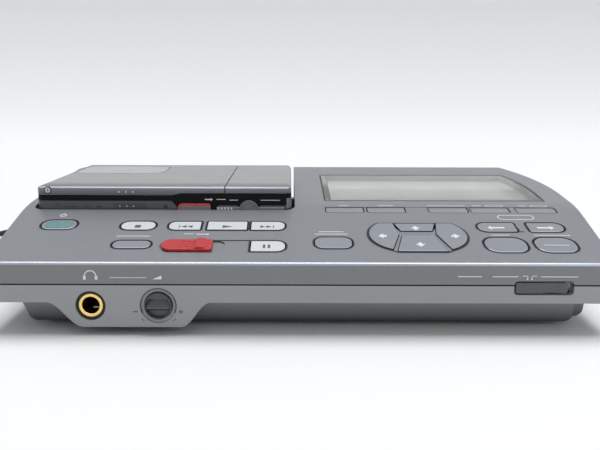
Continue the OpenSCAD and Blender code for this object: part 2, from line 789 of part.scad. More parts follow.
module dock_connector() {
    low = bay_z - bay_floor_t;
    color(black) from_front() {
        difference() {
            dock_block(0);
            for (i = [-5 : 5]) block(dock_x + 2.4 * i - 0.5, dock_x + 2.4 * i + 0.5, dock_y - 2, dock_y + 2,
                rec_z0 + dock_h - 0.8, rec_z0 + dock_h + 1);
        }
        // Flange under the floor
        block(dock_x - dock_w / 2 - 3, dock_x + dock_w / 2 + 3, dock_y - dock_d / 2 - 2, dock_y + dock_d / 2 + 2,
            low - 1.5, low);
    }
}

// Headphone socket and its bush
bush_r = 4.65;
bush_l = 14;
bush_in = 0.3;
jack_body = [15, 13, 12];
jack_y = 16;
nose_in = 1;

module headphone_jack() {
    x = from_left(jack_x);
    color(black) from_front() difference() {
        union() {
            front_cylinder(x, nose_in, jack_z, case_hole_r - seam, jack_y - nose_in + 1);
            // Collar against the inside of the front wall
            front_cylinder(x, wall, jack_z, collar_r, 2);
            block(x - jack_body[0] / 2, x + jack_body[0] / 2, jack_y, jack_y + jack_body[1],
                jack_z - jack_body[2] / 2, jack_z + jack_body[2] / 2);
        }
        front_cylinder(x, 0, jack_z, bush_r, bush_in + bush_l);
        front_cylinder(x, bush_l, jack_z, jack_r + 0.4, 12);
    }
}

module jack_bush() {
    x = from_left(jack_x);
    color("#c9a24a") from_front() difference() {
        front_cylinder(x, bush_in, jack_z, bush_r, bush_l);
        front_cylinder(x, -1, jack_z, jack_r, bush_l + 2);
    }
}

pot_w = 11;
pot_y = 7;
shaft_r = 3;

module volume_pot() {
    x = from_left(knob_x);
    color(steel) from_front() difference() {
        union() {
            block(x - pot_w / 2, x + pot_w / 2, pot_y, pot_y + 8, jack_z - pot_w / 2, jack_z + pot_w / 2);
            // Mounting plate against the inside of the front wall
            block(x - pot_w / 2 - 2, x + pot_w / 2 + 2, pot_y - 1.2, pot_y, jack_z - pot_w / 2, jack_z + pot_w / 2);
            for (s = [-1, 1])
                block(x + s * (pot_w / 2 + 1.2) - 0.8, x + s * (pot_w / 2 + 1.2) + 0.8, wall, pot_y,
                    jack_z - 3, jack_z + 3);
        }
        front_cylinder(x, pot_y - 2, jack_z, shaft_r + run, 8);
    }
}

// Knob: a round cap with a grip bar left between two hollows, and the pot's shaft
grip_h = 2.9;
grip_t = 1.7;

module volume_knob() {
    x = from_left(knob_x);
    color(dark_grey) from_front() {
        difference() {
            front_cylinder(x, -knob_out, jack_z, knob_r, pot_y - 1.2 - clear + knob_out);
            for (s = [-1, 1]) intersection() {
                front_cylinder(x, -knob_out - 1, jack_z, knob_r - 0.5, grip_t + 1);
                translate([0, 0, jack_z + s * (grip_h / 2 + knob_r)])
                    block(x - knob_r, x + knob_r, -knob_out - 1, grip_t, -knob_r, knob_r);
            }
        }
        front_cylinder(x, pot_y - 2, jack_z, shaft_r, 6);
    }
}

// Input switch: knob with a hollow for the finger, and the body behind it
module input_switch_knob() {
    x0 = switch_x - switch_w / 2 + clear;
    x1 = x0 + switch_knob_w;
    hollow_r = 14;
    color(dark_grey) from_front() {
        difference() {
            along_y(-0.1, wall + 0.6) translate([x0, switch_z - switch_h / 2 + clear])
                rounded_rect([switch_knob_w, switch_h - 2 * clear], switch_r - clear);
            translate([x1 - 5.5, -hollow_r + 0.6, switch_z - switch_h]) cylinder(r = hollow_r, h = 2 * switch_h, $fn = 96);
        }
        // Tab that reaches into the switch body
        block(x0 + switch_knob_w / 2 - 2, x0 + switch_knob_w / 2 + 2, wall, wall + 3.2, switch_z - 1, switch_z + 1);
    }
}

module input_switch_body() {
    x = switch_x;
    y0 = wall + 1.4;
    slot_w = 4 + switch_travel + 2 * clear;
    slot_x = switch_x - switch_w / 2 + clear + switch_knob_w / 2 - 2 - clear;
    color(steel) from_front() difference() {
        union() {
            block(x - switch_w / 2, x + switch_w / 2, y0, y0 + 4.6, switch_z - 2.6, switch_z + 2.2);
            for (s = [-1, 1])
                block(x + s * (switch_w / 2 + 1) - 1, x + s * (switch_w / 2 + 1) + 1, wall, y0 + 2,
                    switch_z - 2.6, switch_z + 2.2);
        }
        block(slot_x, slot_x + slot_w, y0 - 1, y0 + 3, switch_z - 1 - clear, switch_z + 1 + clear);
    }
}

// Keys of the key panel
module power_button() { color(case_grey) from_front() on_key_panel() panel_key(power_key); }
module stop_button() { color(key_white) from_front() on_key_panel() panel_key(stop_key); }
module previous_button() { color(key_white) from_front() on_key_panel() panel_key(previous_key); }
module play_button() { color(key_white) from_front() on_key_panel() panel_key(play_key); }
module next_button() { color(key_white) from_front() on_key_panel() panel_key(next_key); }
module pause_button() { color(key_white) from_front() on_key_panel() panel_key(pause_key); }
module end_search_button() { color(case_grey) from_front() on_key_panel() panel_key(end_search_key); }
module character_button() { color(case_grey) from_front() on_key_panel() panel_key(character_key); }
module arrow_left_button() { color(case_grey) from_front() on_key_panel() panel_key(arrow_left_key); }
module arrow_right_button() { color(case_grey) from_front() on_key_panel() panel_key(arrow_right_key); }
module oval_left_button() { color(case_grey) from_front() on_key_panel() panel_key(oval_left_key); }
module oval_right_button() { color(case_grey) from_front() on_key_panel() panel_key(oval_right_key); }

module cursor_key(i) {
    color(case_grey) from_front() on_key_panel()
        key_body(cursor_stems[i], cursor_lips[i][0], cursor_lips[i][1]) children();
}

module cursor_left_button() { cursor_key(0) cursor_left_outline(0); }
module cursor_right_button() { cursor_key(1) cursor_right_outline(0); }
module cursor_up_button() { cursor_key(2) cursor_outline(cursor_up, cursor_r, 0); }
module cursor_down_button() { cursor_key(3) cursor_outline(cursor_down, cursor_r, 0); }

module function_button(i) {
    key = function_key(i);
    color(case_grey) from_front() on_function_row() {
        translate([0, 0, -wall - lip_gap - lip_t])
            linear_extrude(wall + lip_gap + lip_t + key_rise / 2) key_outline(key, 0);
        translate([key[0] + 1, key[2] - lip_out, -wall - lip_gap - lip_t - 0.2])
            cube([key[1] - key[0] - 2, key[3] - key[2] + 2 * lip_out, lip_t]);
        translate([key_middle(key)[0], key_middle(key)[1], -stem_low]) cylinder(r = stem_r, h = stem_low);
    }
}

module function_button_1() { function_button(0); }
module function_button_2() { function_button(1); }
module function_button_3() { function_button(2); }
module function_button_4() { function_button(3); }
module function_button_5() { function_button(4); }

// Record slider: cap in the recess with a raised thumb ridge, neck through the slot, keeper below
module record_slider() {
    x = (slider_key[0] + slider_key[1]) / 2;
    v = (slider_key[2] + slider_key[3]) / 2;
    cap_low = clear - well_t;
    hump_r = (slider_key[3] - slider_key[2]) / 2;
    color(red) from_front() on_key_panel() {
        translate([0, 0, cap_low]) linear_extrude(slider_t - cap_low) key_outline(slider_key, 0);
        // Ridge for the thumb, round in front view
        intersection() {
            translate([hump_x, slider_key[2] + 0.4, slider_t - hump_r + hump_h]) rotate([-90, 0, 0])
                cylinder(r = hump_r, h = 2 * hump_r - 0.8);
            translate([0, 0, cap_low]) linear_extrude(2 * hump_r) key_outline(slider_key, 0);
        }
        translate([x - neck_w / 2, v - neck_d / 2, -wall - clear]) cube([neck_w, neck_d, wall + clear + cap_low + 0.5]);
        translate([x - neck_w / 2 - 1.5, v - neck_d / 2 - 1.5, -wall - clear - 1.2])
            cube([neck_w + 3, neck_d + 3, 1.2]);
    }
}

// Recorder: front profile of the lid's lower edge, with the step towards the black panel
lid_z = rec_h - lid_h;
step_x = [58.7, 62.6];
step_h = 0.9;
lid_r = 2.2;
deck_z = lid_z - 0.4;
pin_r = 0.75;
pin_y = rec_d - 2.6;
pin_z = lid_z + 0.6;
knuckle_r = 1.7;
lid_knuckles = [[9, 21], [58, 70]];
cover_x0 = lid_w + 0.4;
cover_w = rec_w - cover_x0;
cover_knuckles = [[cover_x0 + 0.21 * cover_w, cover_x0 + 0.56 * cover_w]];
ears = [[4, 8.6], [21.4, 26], [70.4, 75], [cover_x0 + 0.05 * cover_w, cover_knuckles[0][0] - 0.4],
    [cover_knuckles[0][1] + 0.4, cover_x0 + 0.72 * cover_w]];
sweep_r = 4.4;

module recorder_box(x0, x1, z0, z1, r_left, r_right) {
    intersection() {
        translate([0, 0, z0]) linear_extrude(z1 - z0) rounded_rect([rec_w, rec_d], rec_r);
        along_x(-1, rec_w + 1) rounded_outline(
            [[0, z0], [0, z1], [rec_d, z1], [rec_d, z0]], [0, lid_r, lid_r, 0]);
        along_y(-1, rec_d + 1) rounded_outline(
            [[x0, z0], [x0, z1], [x1, z1], [x1, z0]], [0, r_left, r_right, 0]);
    }
}

module strip_cut(grow) {
    translate([rec_slider_x[1] + rec_travel + 1 - grow, strip[0] - grow])
        square([rec_w, strip[1] - strip[0] + 2 * grow]);
}

module pin_run(x0, x1, r) {
    translate([x0, pin_y, pin_z]) rotate([0, 90, 0]) cylinder(r = r, h = x1 - x0);
}

// Black band below the lid, which drops to the control panel at the right and wraps round the corners
module black_panel_outline(grow) {
    polygon([[-rec_w, deck_z - 2 - grow], [step_x[0] - grow, deck_z - 2 - grow],
        [step_x[1] - grow, panel_low - grow], [2 * rec_w, panel_low - grow],
        [2 * rec_w, lid_z + step_h - clear], [step_x[1], lid_z + step_h - clear],
        [step_x[0], lid_z - clear], [-rec_w, lid_z - clear]]);
}

module recorder_plan(t) {
    translate([t, t]) rounded_rect([rec_w - 2 * t, rec_d - 2 * t], rec_r - t);
}

// The band's shell: as thick as the panel, from the front to just before the hinge
module black_panel(grow, strip_grow) {
    difference() {
        along_y(-1, rec_d - 8 + grow) difference() {
            black_panel_outline(grow);
            strip_cut(strip_grow);
        }
        linear_extrude(2 * rec_h) recorder_plan(panel_t);
    }
}

panel_t = 1;
panel_low = 20;
strip = [21, 22.8];
strip_out = 0.2;
rec_slot_z = 21.7;
rec_slider_x = [61.3, 75.6];
rec_slider_z = [19.5, 23.8];
lever_x = cover_x0 + 0.357 * cover_w;
lever_r = 4.35;
lever_z = 20.8;
rec_travel = 2.2;
rec_neck = [5, 2];
rec_out = [0.5, 1.1];

// Slot for a slider's neck that is centred on x at rest and travels from a to b
module neck_slot(x, z, a, b) {
    block(x - rec_neck[0] / 2 + a - clear, x + rec_neck[0] / 2 + b + clear, -1, rec_wall + panel_t,
        z - rec_neck[1] / 2 - clear, z + rec_neck[1] / 2 + clear);
    // Room for the keeper inside the wall
    block(x - rec_neck[0] / 2 - 1 + a - clear, x + rec_neck[0] / 2 + 1 + b + clear, rec_wall, rec_wall + 1 + 2 * clear,
        z - rec_neck[1] / 2 - 1.2 - clear, z + rec_neck[1] / 2 + 1.2 + clear);
}

module neck(x, z) {
    block(x - rec_neck[0] / 2, x + rec_neck[0] / 2, -rec_out[0] - 0.2, rec_wall + clear + 0.2,
        z - rec_neck[1] / 2, z + rec_neck[1] / 2);
    // Keeper inside the wall
    block(x - rec_neck[0] / 2 - 1, x + rec_neck[0] / 2 + 1, rec_wall + clear, rec_wall + clear + 1,
        z - rec_neck[1] / 2 - 1.2, z + rec_neck[1] / 2 + 1.2);
}

battery_x = lid_w + 2.6;
battery = [rec_w - battery_x - 2.4, 70, 15];
battery_y = 6;
battery_z = 9;
post_ring = [[9, 9], [72, 9], [9, 70], [72, 70]];
chassis_z = 9;
chassis_t = 1;

module recorder_case() {
    color(case_grey) in_recorder() difference() {
        union() {
            difference() {
                recorder_box(0, rec_w, 0, deck_z + lid_r, 0.3, 0.3);
                block(-1, rec_w + 1, -1, rec_d + 1, deck_z, rec_h + 9);
                // Mechanism space and battery space
                block(rec_wall, lid_w - rec_wall, rec_wall + 0.1, rec_d - 6, rec_wall, rec_h);
                block(battery_x - clear, rec_w - rec_wall, battery_y - clear, battery_y + battery[1] + clear,
                    battery_z, rec_h);
                // Room for the rear edges of the lid and the cover as they swing down
                pin_run(-1, rec_w + 1, sweep_r);
            }
            for (p = post_ring) translate([p[0], p[1], rec_wall / 2]) cylinder(r = 2.5, h = chassis_z - rec_wall / 2);
            // Housing over the dock connector's pocket
            translate([-rec_x0, -rec_y0, -rec_z0])
                block(dock_x - dock_w / 2 - 3, dock_x + dock_w / 2 + 3, dock_y - dock_d / 2 - 3, dock_y + dock_d / 2 + 3,
                    rec_z0 + rec_wall / 2, rec_z0 + dock_h + clear + rec_wall);
            // Ears that hold the hinge pin
            for (e = ears) {
                pin_run(e[0], e[1], knuckle_r);
                block(e[0], e[1], pin_y - knuckle_r, pin_y + knuckle_r, deck_z - 6, pin_z);
            }
            // Light strip across the black panel
            block(rec_slider_x[1] + rec_travel + 1, rec_w - rec_r, -strip_out, panel_t + 0.2, strip[0], strip[1]);
        }
        for (e = ears) pin_run(e[0] - 1, e[1] + 1, pin_r + run);
        black_panel(seam / 2, 0);
        neck_slot(rec_slider_mid, rec_slot_z, 0, rec_travel);
        neck_slot(lever_x, rec_slot_z, -rec_travel, rec_travel);
        translate([-rec_x0, -rec_y0, -rec_z0])
            block(dock_x - dock_w / 2 - 0.5, dock_x + dock_w / 2 + 0.5, dock_y - dock_d / 2 - 0.5, dock_y + dock_d / 2 + 0.5,
                rec_z0 - 1, rec_z0 + dock_h + clear);
    }
}

rec_slider_mid = (rec_slider_x[0] + rec_slider_x[1]) / 2;

module recorder_front_panel() {
    color(black) in_recorder() difference() {
        intersection() {
            black_panel(0, seam / 2);
            translate([0, 0, panel_low - 1]) linear_extrude(rec_h) recorder_plan(0);
        }
        neck_slot(rec_slider_mid, rec_slot_z, 0, rec_travel);
        neck_slot(lever_x, rec_slot_z, -rec_travel, rec_travel);
    }
}

module recorder_record_slider() {
    color(red) in_recorder() {
        along_y(-rec_out[1], -rec_out[0]) rounded_outline(
            [[rec_slider_x[0], rec_slider_z[0]], [rec_slider_x[1], rec_slider_z[0]],
             [rec_slider_x[1], rec_slider_z[1]], [rec_slider_x[0], rec_slider_z[1]]], [0.4, 0.4, 1.2, 2.1]);
        neck(rec_slider_mid, rec_slot_z);
    }
}

module thumb_lever() {
    color(case_grey) in_recorder() {
        along_y(-rec_out[1], -rec_out[0]) intersection() {
            translate([lever_x, lever_z]) circle(r = lever_r);
            translate([lever_x - lever_r, lever_z - 1.4]) square([2 * lever_r, 2 * lever_r]);
        }
        neck(lever_x, rec_slot_z);
    }
}

// Lid and battery cover: thin shells that swing on the pin along the rear edge
module swing_cover(x0, x1, low, r_left, r_right, knuckles) {
    difference() {
        union() {
            difference() {
                recorder_box(x0, x1, low, rec_h, r_left, r_right);
                block(x0 + rec_wall, x1 - rec_wall, rec_wall, rec_d - 6, low - 1, rec_h - rec_wall);
                for (e = ears) block(e[0] - clear, e[1] + clear, pin_y - knuckle_r - clear, rec_d + 1, low - 1, pin_z + knuckle_r + clear);
            }
            for (k = knuckles) pin_run(k[0], k[1], knuckle_r);
        }
        pin_run(x0 - 1, x1 + 1, pin_r + run);
    }
}

lid_window_at = [[2.6, 47], [44, 75]];
lid_window_t = 1;
lid_window_r = [1.5, 8, 8, 1.5];
lid_window_lip = 2;

module lid_window_outline(inset) {
    x = lid_window_at[0];
    y = lid_window_at[1];
    rounded_outline([[x[0] + inset, y[0] + inset], [x[1] - inset, y[0] + inset], [x[1] - inset, y[1] - inset],
        [x[0] + inset, y[1] - inset]], [for (r = lid_window_r) max(r - inset, 0.3)]);
}

module recorder_lid() {
    color(case_grey) in_recorder() difference() {
        swing_cover(0, lid_w, lid_z, lid_r, 0.3, lid_knuckles);
        // Step of the lower edge at the front
        along_y(-1, rec_wall + 1) polygon([[step_x[0], lid_z - 1], [step_x[0], lid_z], [step_x[1], lid_z + step_h],
            [lid_w + 1, lid_z + step_h], [lid_w + 1, lid_z - 1]]);
        translate([0, 0, rec_h - lid_window_t]) linear_extrude(9) lid_window_outline(0);
        translate([0, 0, lid_z]) linear_extrude(9) lid_window_outline(lid_window_lip);
    }
}

module lid_window() {
    color("#3a3f45") in_recorder()
        translate([0, 0, rec_h - lid_window_t]) linear_extrude(lid_window_t) lid_window_outline(seam / 2);
}

module battery_cover() {
    color(case_grey) in_recorder()
        swing_cover(cover_x0, rec_w, lid_z + step_h, 0.3, lid_r, cover_knuckles);
}

module battery_pack() {
    color("#5a5c60") in_recorder() difference() {
        translate([battery_x, battery_y, battery_z]) cube(battery);
        // Contact pads at the front end
        for (i = [0 : 2]) translate([battery_x + (0.17 + 0.25 * i) * battery[0], battery_y - 1, battery_z + 4])
            cube([0.16 * battery[0], 1.4, 5]);
    }
}

module hinge_pin() {
    color(steel) in_recorder() pin_run(ears[0][0], ears[4][1], pin_r);
}

// Mechanism under the disc
disc_c = [40.5, 41];
cartridge = [72, 68, 5];
cartridge_z = 18.6;
disc_r = 32;
disc_t = 1.2;
disc_z = cartridge_z + 1.9;
hub_hole_r = 9;
turntable_r = 5.5;
motor_r = 9;
motor_h = 4;
shaft_d = 2;
sled = [12, 18, 3.5];
sled_x = disc_c[0] + 16;
sled_z = 12;
sled_travel = 14;
rod_y = [disc_c[1] - 6, disc_c[1] + 6];
rod_z = sled_z + sled[2] / 2;
rod_r = 1.1;
bracket_x = [47, 77.4];
bracket_t = 1.2;

module rod(y, x0, x1, r) {
    translate([x0, y, rod_z]) rotate([0, 90, 0]) cylinder(r = r, h = x1 - x0);
}

module mechanism_chassis() {
    top = chassis_z + chassis_t;
    color(steel) in_recorder() {
        difference() {
            union() {
                block(4, lid_w - 2.4, 4, 75, chassis_z, top);
                for (x = bracket_x) block(x, x + bracket_t, rod_y[0] - 4, rod_y[1] + 4, chassis_z, rod_z + 3);
                // Rests for the cartridge
                for (x = [6, 71]) for (y = [12, 62])
                    block(x, x + 4, y, y + 8, chassis_z, cartridge_z);
            }
            translate([disc_c[0], disc_c[1], chassis_z - 1]) cylinder(r = turntable_r + 1, h = 3);
            rod(rod_y[0], bracket_x[0] - 1, bracket_x[1] + bracket_t + 1, rod_r + run);
        }
        // Guide rod of the pickup
        rod(rod_y[1], bracket_x[0], bracket_x[1] + bracket_t, rod_r);
    }
}

module spindle_motor() {
    color(dark_grey) in_recorder() translate([disc_c[0], disc_c[1], chassis_z - motor_h]) difference() {
        cylinder(r = motor_r, h = motor_h);
        translate([0, 0, 1]) cylinder(r = shaft_d / 2 + run, h = motor_h);
    }
}

module turntable() {
    color(steel) in_recorder() translate([disc_c[0], disc_c[1], 0]) {
        translate([0, 0, chassis_z - motor_h + 1 + clear]) cylinder(r = shaft_d / 2, h = motor_h);
        translate([0, 0, chassis_z + clear]) cylinder(r = turntable_r, h = disc_z - chassis_z - clear);
    }
}

module disc_cartridge() {
    x0 = disc_c[0] - cartridge[0] / 2;
    y0 = disc_c[1] - cartridge[1] / 2;
    color("#39424d") in_recorder() difference() {
        translate([x0, y0, cartridge_z]) linear_extrude(cartridge[2]) rounded_rect([cartridge[0], cartridge[1]], 1.5);
        translate([disc_c[0], disc_c[1], cartridge_z + 1]) cylinder(r = disc_r + 0.8, h = cartridge[2] - 2, $fn = 96);
        translate([disc_c[0], disc_c[1], cartridge_z - 1]) cylinder(r = hub_hole_r, h = 3);
        // Window for the pickup
        block(disc_c[0] + hub_hole_r + 1, disc_c[0] + disc_r - 1, disc_c[1] - 6, disc_c[1] + 6,
            cartridge_z - 1, cartridge_z + 1.5);
    }
}

module disc() {
    color("#b8aecb") in_recorder() translate([disc_c[0], disc_c[1], disc_z]) difference() {
        union() {
            cylinder(r = disc_r, h = disc_t, $fn = 96);
            // Steel hub
            translate([0, 0, 0]) cylinder(r = hub_hole_r - 1, h = disc_t + 0.3);
        }
        translate([0, 0, disc_t - 0.2]) cylinder(r = 2, h = 2);
    }
}

module optical_pickup() {
    color(black) in_recorder() difference() {
        union() {
            block(sled_x - sled[0] / 2, sled_x + sled[0] / 2, disc_c[1] - sled[1] / 2, disc_c[1] + sled[1] / 2,
                sled_z, sled_z + sled[2]);
            // Lens
            translate([sled_x, disc_c[1], sled_z + sled[2] - 0.5]) cylinder(r = 2.6, h = 1.7);
        }
        for (y = rod_y) rod(y, sled_x - sled[0], sled_x + sled[0], rod_r + run);
    }
}

module lead_screw() {
    color(steel) in_recorder() rod(rod_y[0], bracket_x[0] - 0.8, bracket_x[1] + bracket_t + 0.8, rod_r);
}

// Mains lead: boot at the rear, free stretch on the table, coil, tie and plug
boot_l = 22;
boot_r = 3.6;
boot_y = case_d - tub_rear + boot_l;
lead_r = lead_d / 2;
route = [[lead_x, boot_y, lead_z], [lead_x, boot_y + 8, lead_z], [-62, 168, 7], [-68, 182, 3], [-80, 198, 1.5],
    [-98, 211, 1.5], [-120, 218, 1.5], [-142, 218, 1.5], [-160, 211, 1.5], [-173, 201, 1.5], [-181, 190, 1.5],
    [-187, 178, 1.5], [-192, 165, 1.5], [-196, 152, 1.5], [-198, 140, 1.5], [-198, 128, 1.5]];
coil_mean_r = 18;
coil_out_r = coil_mean_r + coil_turns * coil_pitch / 2;
coil_layers = 4;
coil_c = [-198 - coil_out_r, 128 - lead_d];
loop_rings = 24;
tube_sides = 8;
coil_sides = 6;

// Smooth curve through the route's points
function spline(a, b, c, d, t) = 0.5 * (2 * b + (c - a) * t + (2 * a - 5 * b + 4 * c - d) * t * t
    + (3 * b - a - 3 * c + d) * t * t * t);
route_steps = 4;
lead_path = [for (i = [0 : len(route) - 2]) for (k = [0 : route_steps - 1])
    spline(route[max(i - 1, 0)], route[i], route[i + 1], route[min(i + 2, len(route) - 1)], k / route_steps),
    route[len(route) - 1]];

// The coil winds clockwise: in, up, out, up and so on, one layer a spiral
layer_span = coil_turns + 0.5;
coil_total = coil_layers * layer_span - 0.5;
function coil_layer(u) = min(floor(u / layer_span), coil_layers - 1);
function coil_part(u) = u - coil_layer(u) * layer_span;
function coil_r(u) = let (s = min(coil_part(u), coil_turns) * coil_pitch)
    coil_layer(u) % 2 == 0 ? coil_out_r - s : coil_out_r - coil_turns * coil_pitch + s;
function coil_climb(u) = max(coil_part(u) - coil_turns, 0) / 0.5;
function coil_z(u) = lead_r + (coil_layer(u) + (1 - cos(180 * coil_climb(u))) / 2) * coil_pitch;
function coil_point(u) = [coil_c[0] + coil_r(u) * cos(-360 * u), coil_c[1] + coil_r(u) * sin(-360 * u), coil_z(u)];
coil_n = round(coil_total * loop_rings);
coil_start = [coil_c[0] + coil_out_r, coil_c[1] + lead_d, lead_r];
coil_last = coil_point(coil_total);
coil_end = coil_last + [0, 4 * lead_d, 0];
coil_path = concat([coil_start], [for (i = [0 : coil_n]) coil_point(i * coil_total / coil_n)], [coil_end]);

// Least gap between turns, measured on points half a turn or more apart
coil_gap = min([for (i = [0 : 2 : len(coil_path) - 1]) for (j = [i + loop_rings / 2 : len(coil_path) - 1])
    norm(coil_path[i] - coil_path[j])]) - lead_d;
echo(coil_gap = coil_gap);

function path_dir(path, i) = unit(path[min(i + 1, len(path) - 1)] - path[max(i - 1, 0)]);

module tube(path, r, sides) {
    n = len(path);
    rings = [for (i = [0 : n - 1]) let (d = path_dir(path, i), s = unit(cross(d, [0, 0, 1])), w = cross(s, d))
        for (k = [0 : sides - 1]) path[i] + r * (cos(360 * k / sides) * s + sin(360 * k / sides) * w)];
    ends = [for (k = [0 : sides - 1]) k];
    polyhedron(rings, concat(
        [for (k = [1 : sides - 2]) [0, k, k + 1]],
        [for (k = [1 : sides - 2]) [(n - 1) * sides, (n - 1) * sides + k + 1, (n - 1) * sides + k]],
        [for (i = [0 : n - 2]) for (k = ends) let (m = (k + 1) % sides)
            each [[i * sides + k, (i + 1) * sides + k, (i + 1) * sides + m],
                [i * sides + k, (i + 1) * sides + m, i * sides + m]]]));
}

module strain_relief() {
    y = case_d - tub_rear;
    color(black) from_front() {
        front_cylinder(lead_x, y - wall - 2, lead_z, 3, 2);
        front_cylinder(lead_x, y - wall - 0.5, lead_z, boot_neck_r, wall + 1);
        translate([lead_x, y, lead_z]) rotate([-90, 0, 0]) cylinder(r1 = boot_r, r2 = lead_r + 0.5, h = boot_l);
    }
}

module power_cord() {
    color(black) from_front() tube(lead_path, lead_r, tube_sides);
}

module cord_coil() {
    color(black) from_front() tube(coil_path, lead_r, coil_sides);
}

// Tie round the whole bundle, on the coil's front side
tie_w = 4;
tie_t = 0.8;

module coil_tie() {
    gap = lead_r + 0.5;
    y0 = coil_c[1] - coil_out_r - gap;
    y1 = coil_c[1] - coil_out_r + coil_turns * coil_pitch + gap;
    z1 = lead_r + (coil_layers - 1) * coil_pitch + gap;
    color("#d9d9d4") from_front() difference() {
        block(coil_c[0] - tie_w / 2, coil_c[0] + tie_w / 2, y0 - tie_t, y1 + tie_t, 0, z1 + tie_t);
        block(coil_c[0] - tie_w, coil_c[0] + tie_w, y0, y1, -1, z1);
    }
}

// Flat two-pin plug standing on its edge at the end of the coil
plug = [12, 26];
blade = [1.5, 17, 6.3];
blade_pitch = 12.7;

module mains_plug() {
    z = coil_end[2];
    y = coil_end[1];
    color(black) from_front() {
        translate([coil_end[0], y, z]) rotate([-90, 0, 0]) cylinder(r1 = lead_r + 0.6, r2 = 4, h = 10);
        difference() {
            along_x(coil_end[0] - plug[0] / 2, coil_end[0] + plug[0] / 2) rounded_outline(
                [[y + 8, z - 6], [y + 8 + plug[1] * 0.6, 0], [y + 8 + plug[1], 0], [y + 8 + plug[1], 2 * z],
                 [y + 8 + plug[1] * 0.6, 2 * z], [y + 8, z + 6]], [2, 3, 1.5, 1.5, 3, 2]);
        }
        for (s = [-1, 1]) translate([coil_end[0] - blade[0] / 2, y + 6 + plug[1], z + s * blade_pitch / 2 - blade[2] / 2])
            cube([blade[0], blade[1] + 2, blade[2]]);
    }
}

upper_case();
lower_case();
rubber_feet();
case_screws();
display_window();
lcd_panel();
main_board();
key_board();
headphone_jack();
jack_bush();
volume_pot();
volume_knob();
input_switch_body();
input_switch_knob();
power_button();
stop_button();
previous_button();
play_button();
next_button();
pause_button();
record_slider();
end_search_button();
character_button();
cursor_left_button();
cursor_right_button();
cursor_up_button();
cursor_down_button();
function_button_1();
function_button_2();
function_button_3();
function_button_4();
function_button_5();
arrow_left_button();
arrow_right_button();
oval_left_button();
oval_right_button();
dock_connector();
rear_sockets();
power_supply();
strain_relief();
power_cord();
cord_coil();
coil_tie();
mains_plug();
recorder_case();
recorder_front_panel();
recorder_lid();
lid_window();
battery_cover();
battery_pack();
hinge_pin();
mechanism_chassis();
disc_cartridge();
disc();
spindle_motor();
turntable();
optical_pickup();
lead_screw();
recorder_record_slider();
thumb_lever();
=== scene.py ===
"""Desktop docking station with a portable disc recorder in its bay: finishes, prints and lead."""
import json
import math

import bmesh
import bpy
from mathutils import Matrix, Vector, geometry

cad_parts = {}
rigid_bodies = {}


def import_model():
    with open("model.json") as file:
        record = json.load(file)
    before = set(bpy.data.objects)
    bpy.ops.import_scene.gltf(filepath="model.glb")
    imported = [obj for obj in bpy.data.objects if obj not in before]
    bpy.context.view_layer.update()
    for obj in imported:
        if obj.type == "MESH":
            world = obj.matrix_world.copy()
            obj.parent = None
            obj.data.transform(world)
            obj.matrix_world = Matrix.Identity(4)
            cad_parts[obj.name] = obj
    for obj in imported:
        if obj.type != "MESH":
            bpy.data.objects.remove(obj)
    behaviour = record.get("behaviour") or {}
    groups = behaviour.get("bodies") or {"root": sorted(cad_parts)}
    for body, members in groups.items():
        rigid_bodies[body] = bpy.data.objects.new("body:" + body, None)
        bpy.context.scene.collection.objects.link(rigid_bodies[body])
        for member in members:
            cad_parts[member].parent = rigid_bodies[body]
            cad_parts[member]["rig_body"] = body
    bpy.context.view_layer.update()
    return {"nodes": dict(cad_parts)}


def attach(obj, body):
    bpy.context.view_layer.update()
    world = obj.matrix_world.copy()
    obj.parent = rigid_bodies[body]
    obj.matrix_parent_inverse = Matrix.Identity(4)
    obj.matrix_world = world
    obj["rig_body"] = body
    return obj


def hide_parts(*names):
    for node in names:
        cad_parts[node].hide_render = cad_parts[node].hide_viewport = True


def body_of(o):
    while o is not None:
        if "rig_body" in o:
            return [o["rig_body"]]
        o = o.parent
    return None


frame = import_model()

# Camera.
# A little above the front edge, looking down at the key panel, with the lens shifted a little to the right.


def placed(name, data):
    """An object of the given data, in the scene."""
    made = bpy.data.objects.new(name, data)
    bpy.context.scene.collection.objects.link(made)
    return made


camera = placed("camera", bpy.data.cameras.new("camera"))
bpy.context.scene.camera = camera
camera.data.sensor_width = 36
camera.data.lens = 41.4
camera.data.shift_x = 11 / 600
camera.data.clip_start = 0.01
camera_tilt = math.radians(90 - 11.43)
camera_roll = math.radians(0.15)
camera.matrix_world = (Matrix.Translation((-0.0063, -0.3157, 0.0934))
                       @ Matrix.Rotation(camera_tilt, 4, "X") @ Matrix.Rotation(camera_roll, 4, "Z"))

# Mains lead.
# Black sheath of 3 mm, out of a tapered boot at the rear, then over the table to a coil with a white tie.
# The boot is moulded on the lead and held by a flange inside the case; the flat plug stands on edge.
MM = 0.001


def linear(red, green, blue):
    """A display colour of 0 to 255 as the linear colour that a shader takes."""
    parts = [c / 255 for c in (red, green, blue)]
    return (*(c / 12.92 if c <= 0.04045 else ((c + 0.055) / 1.055) ** 2.4 for c in parts), 1)


def toned(colour, factor):
    """The colour made darker or lighter by a factor."""
    return (*(min(1, c * factor) for c in colour[:3]), 1)


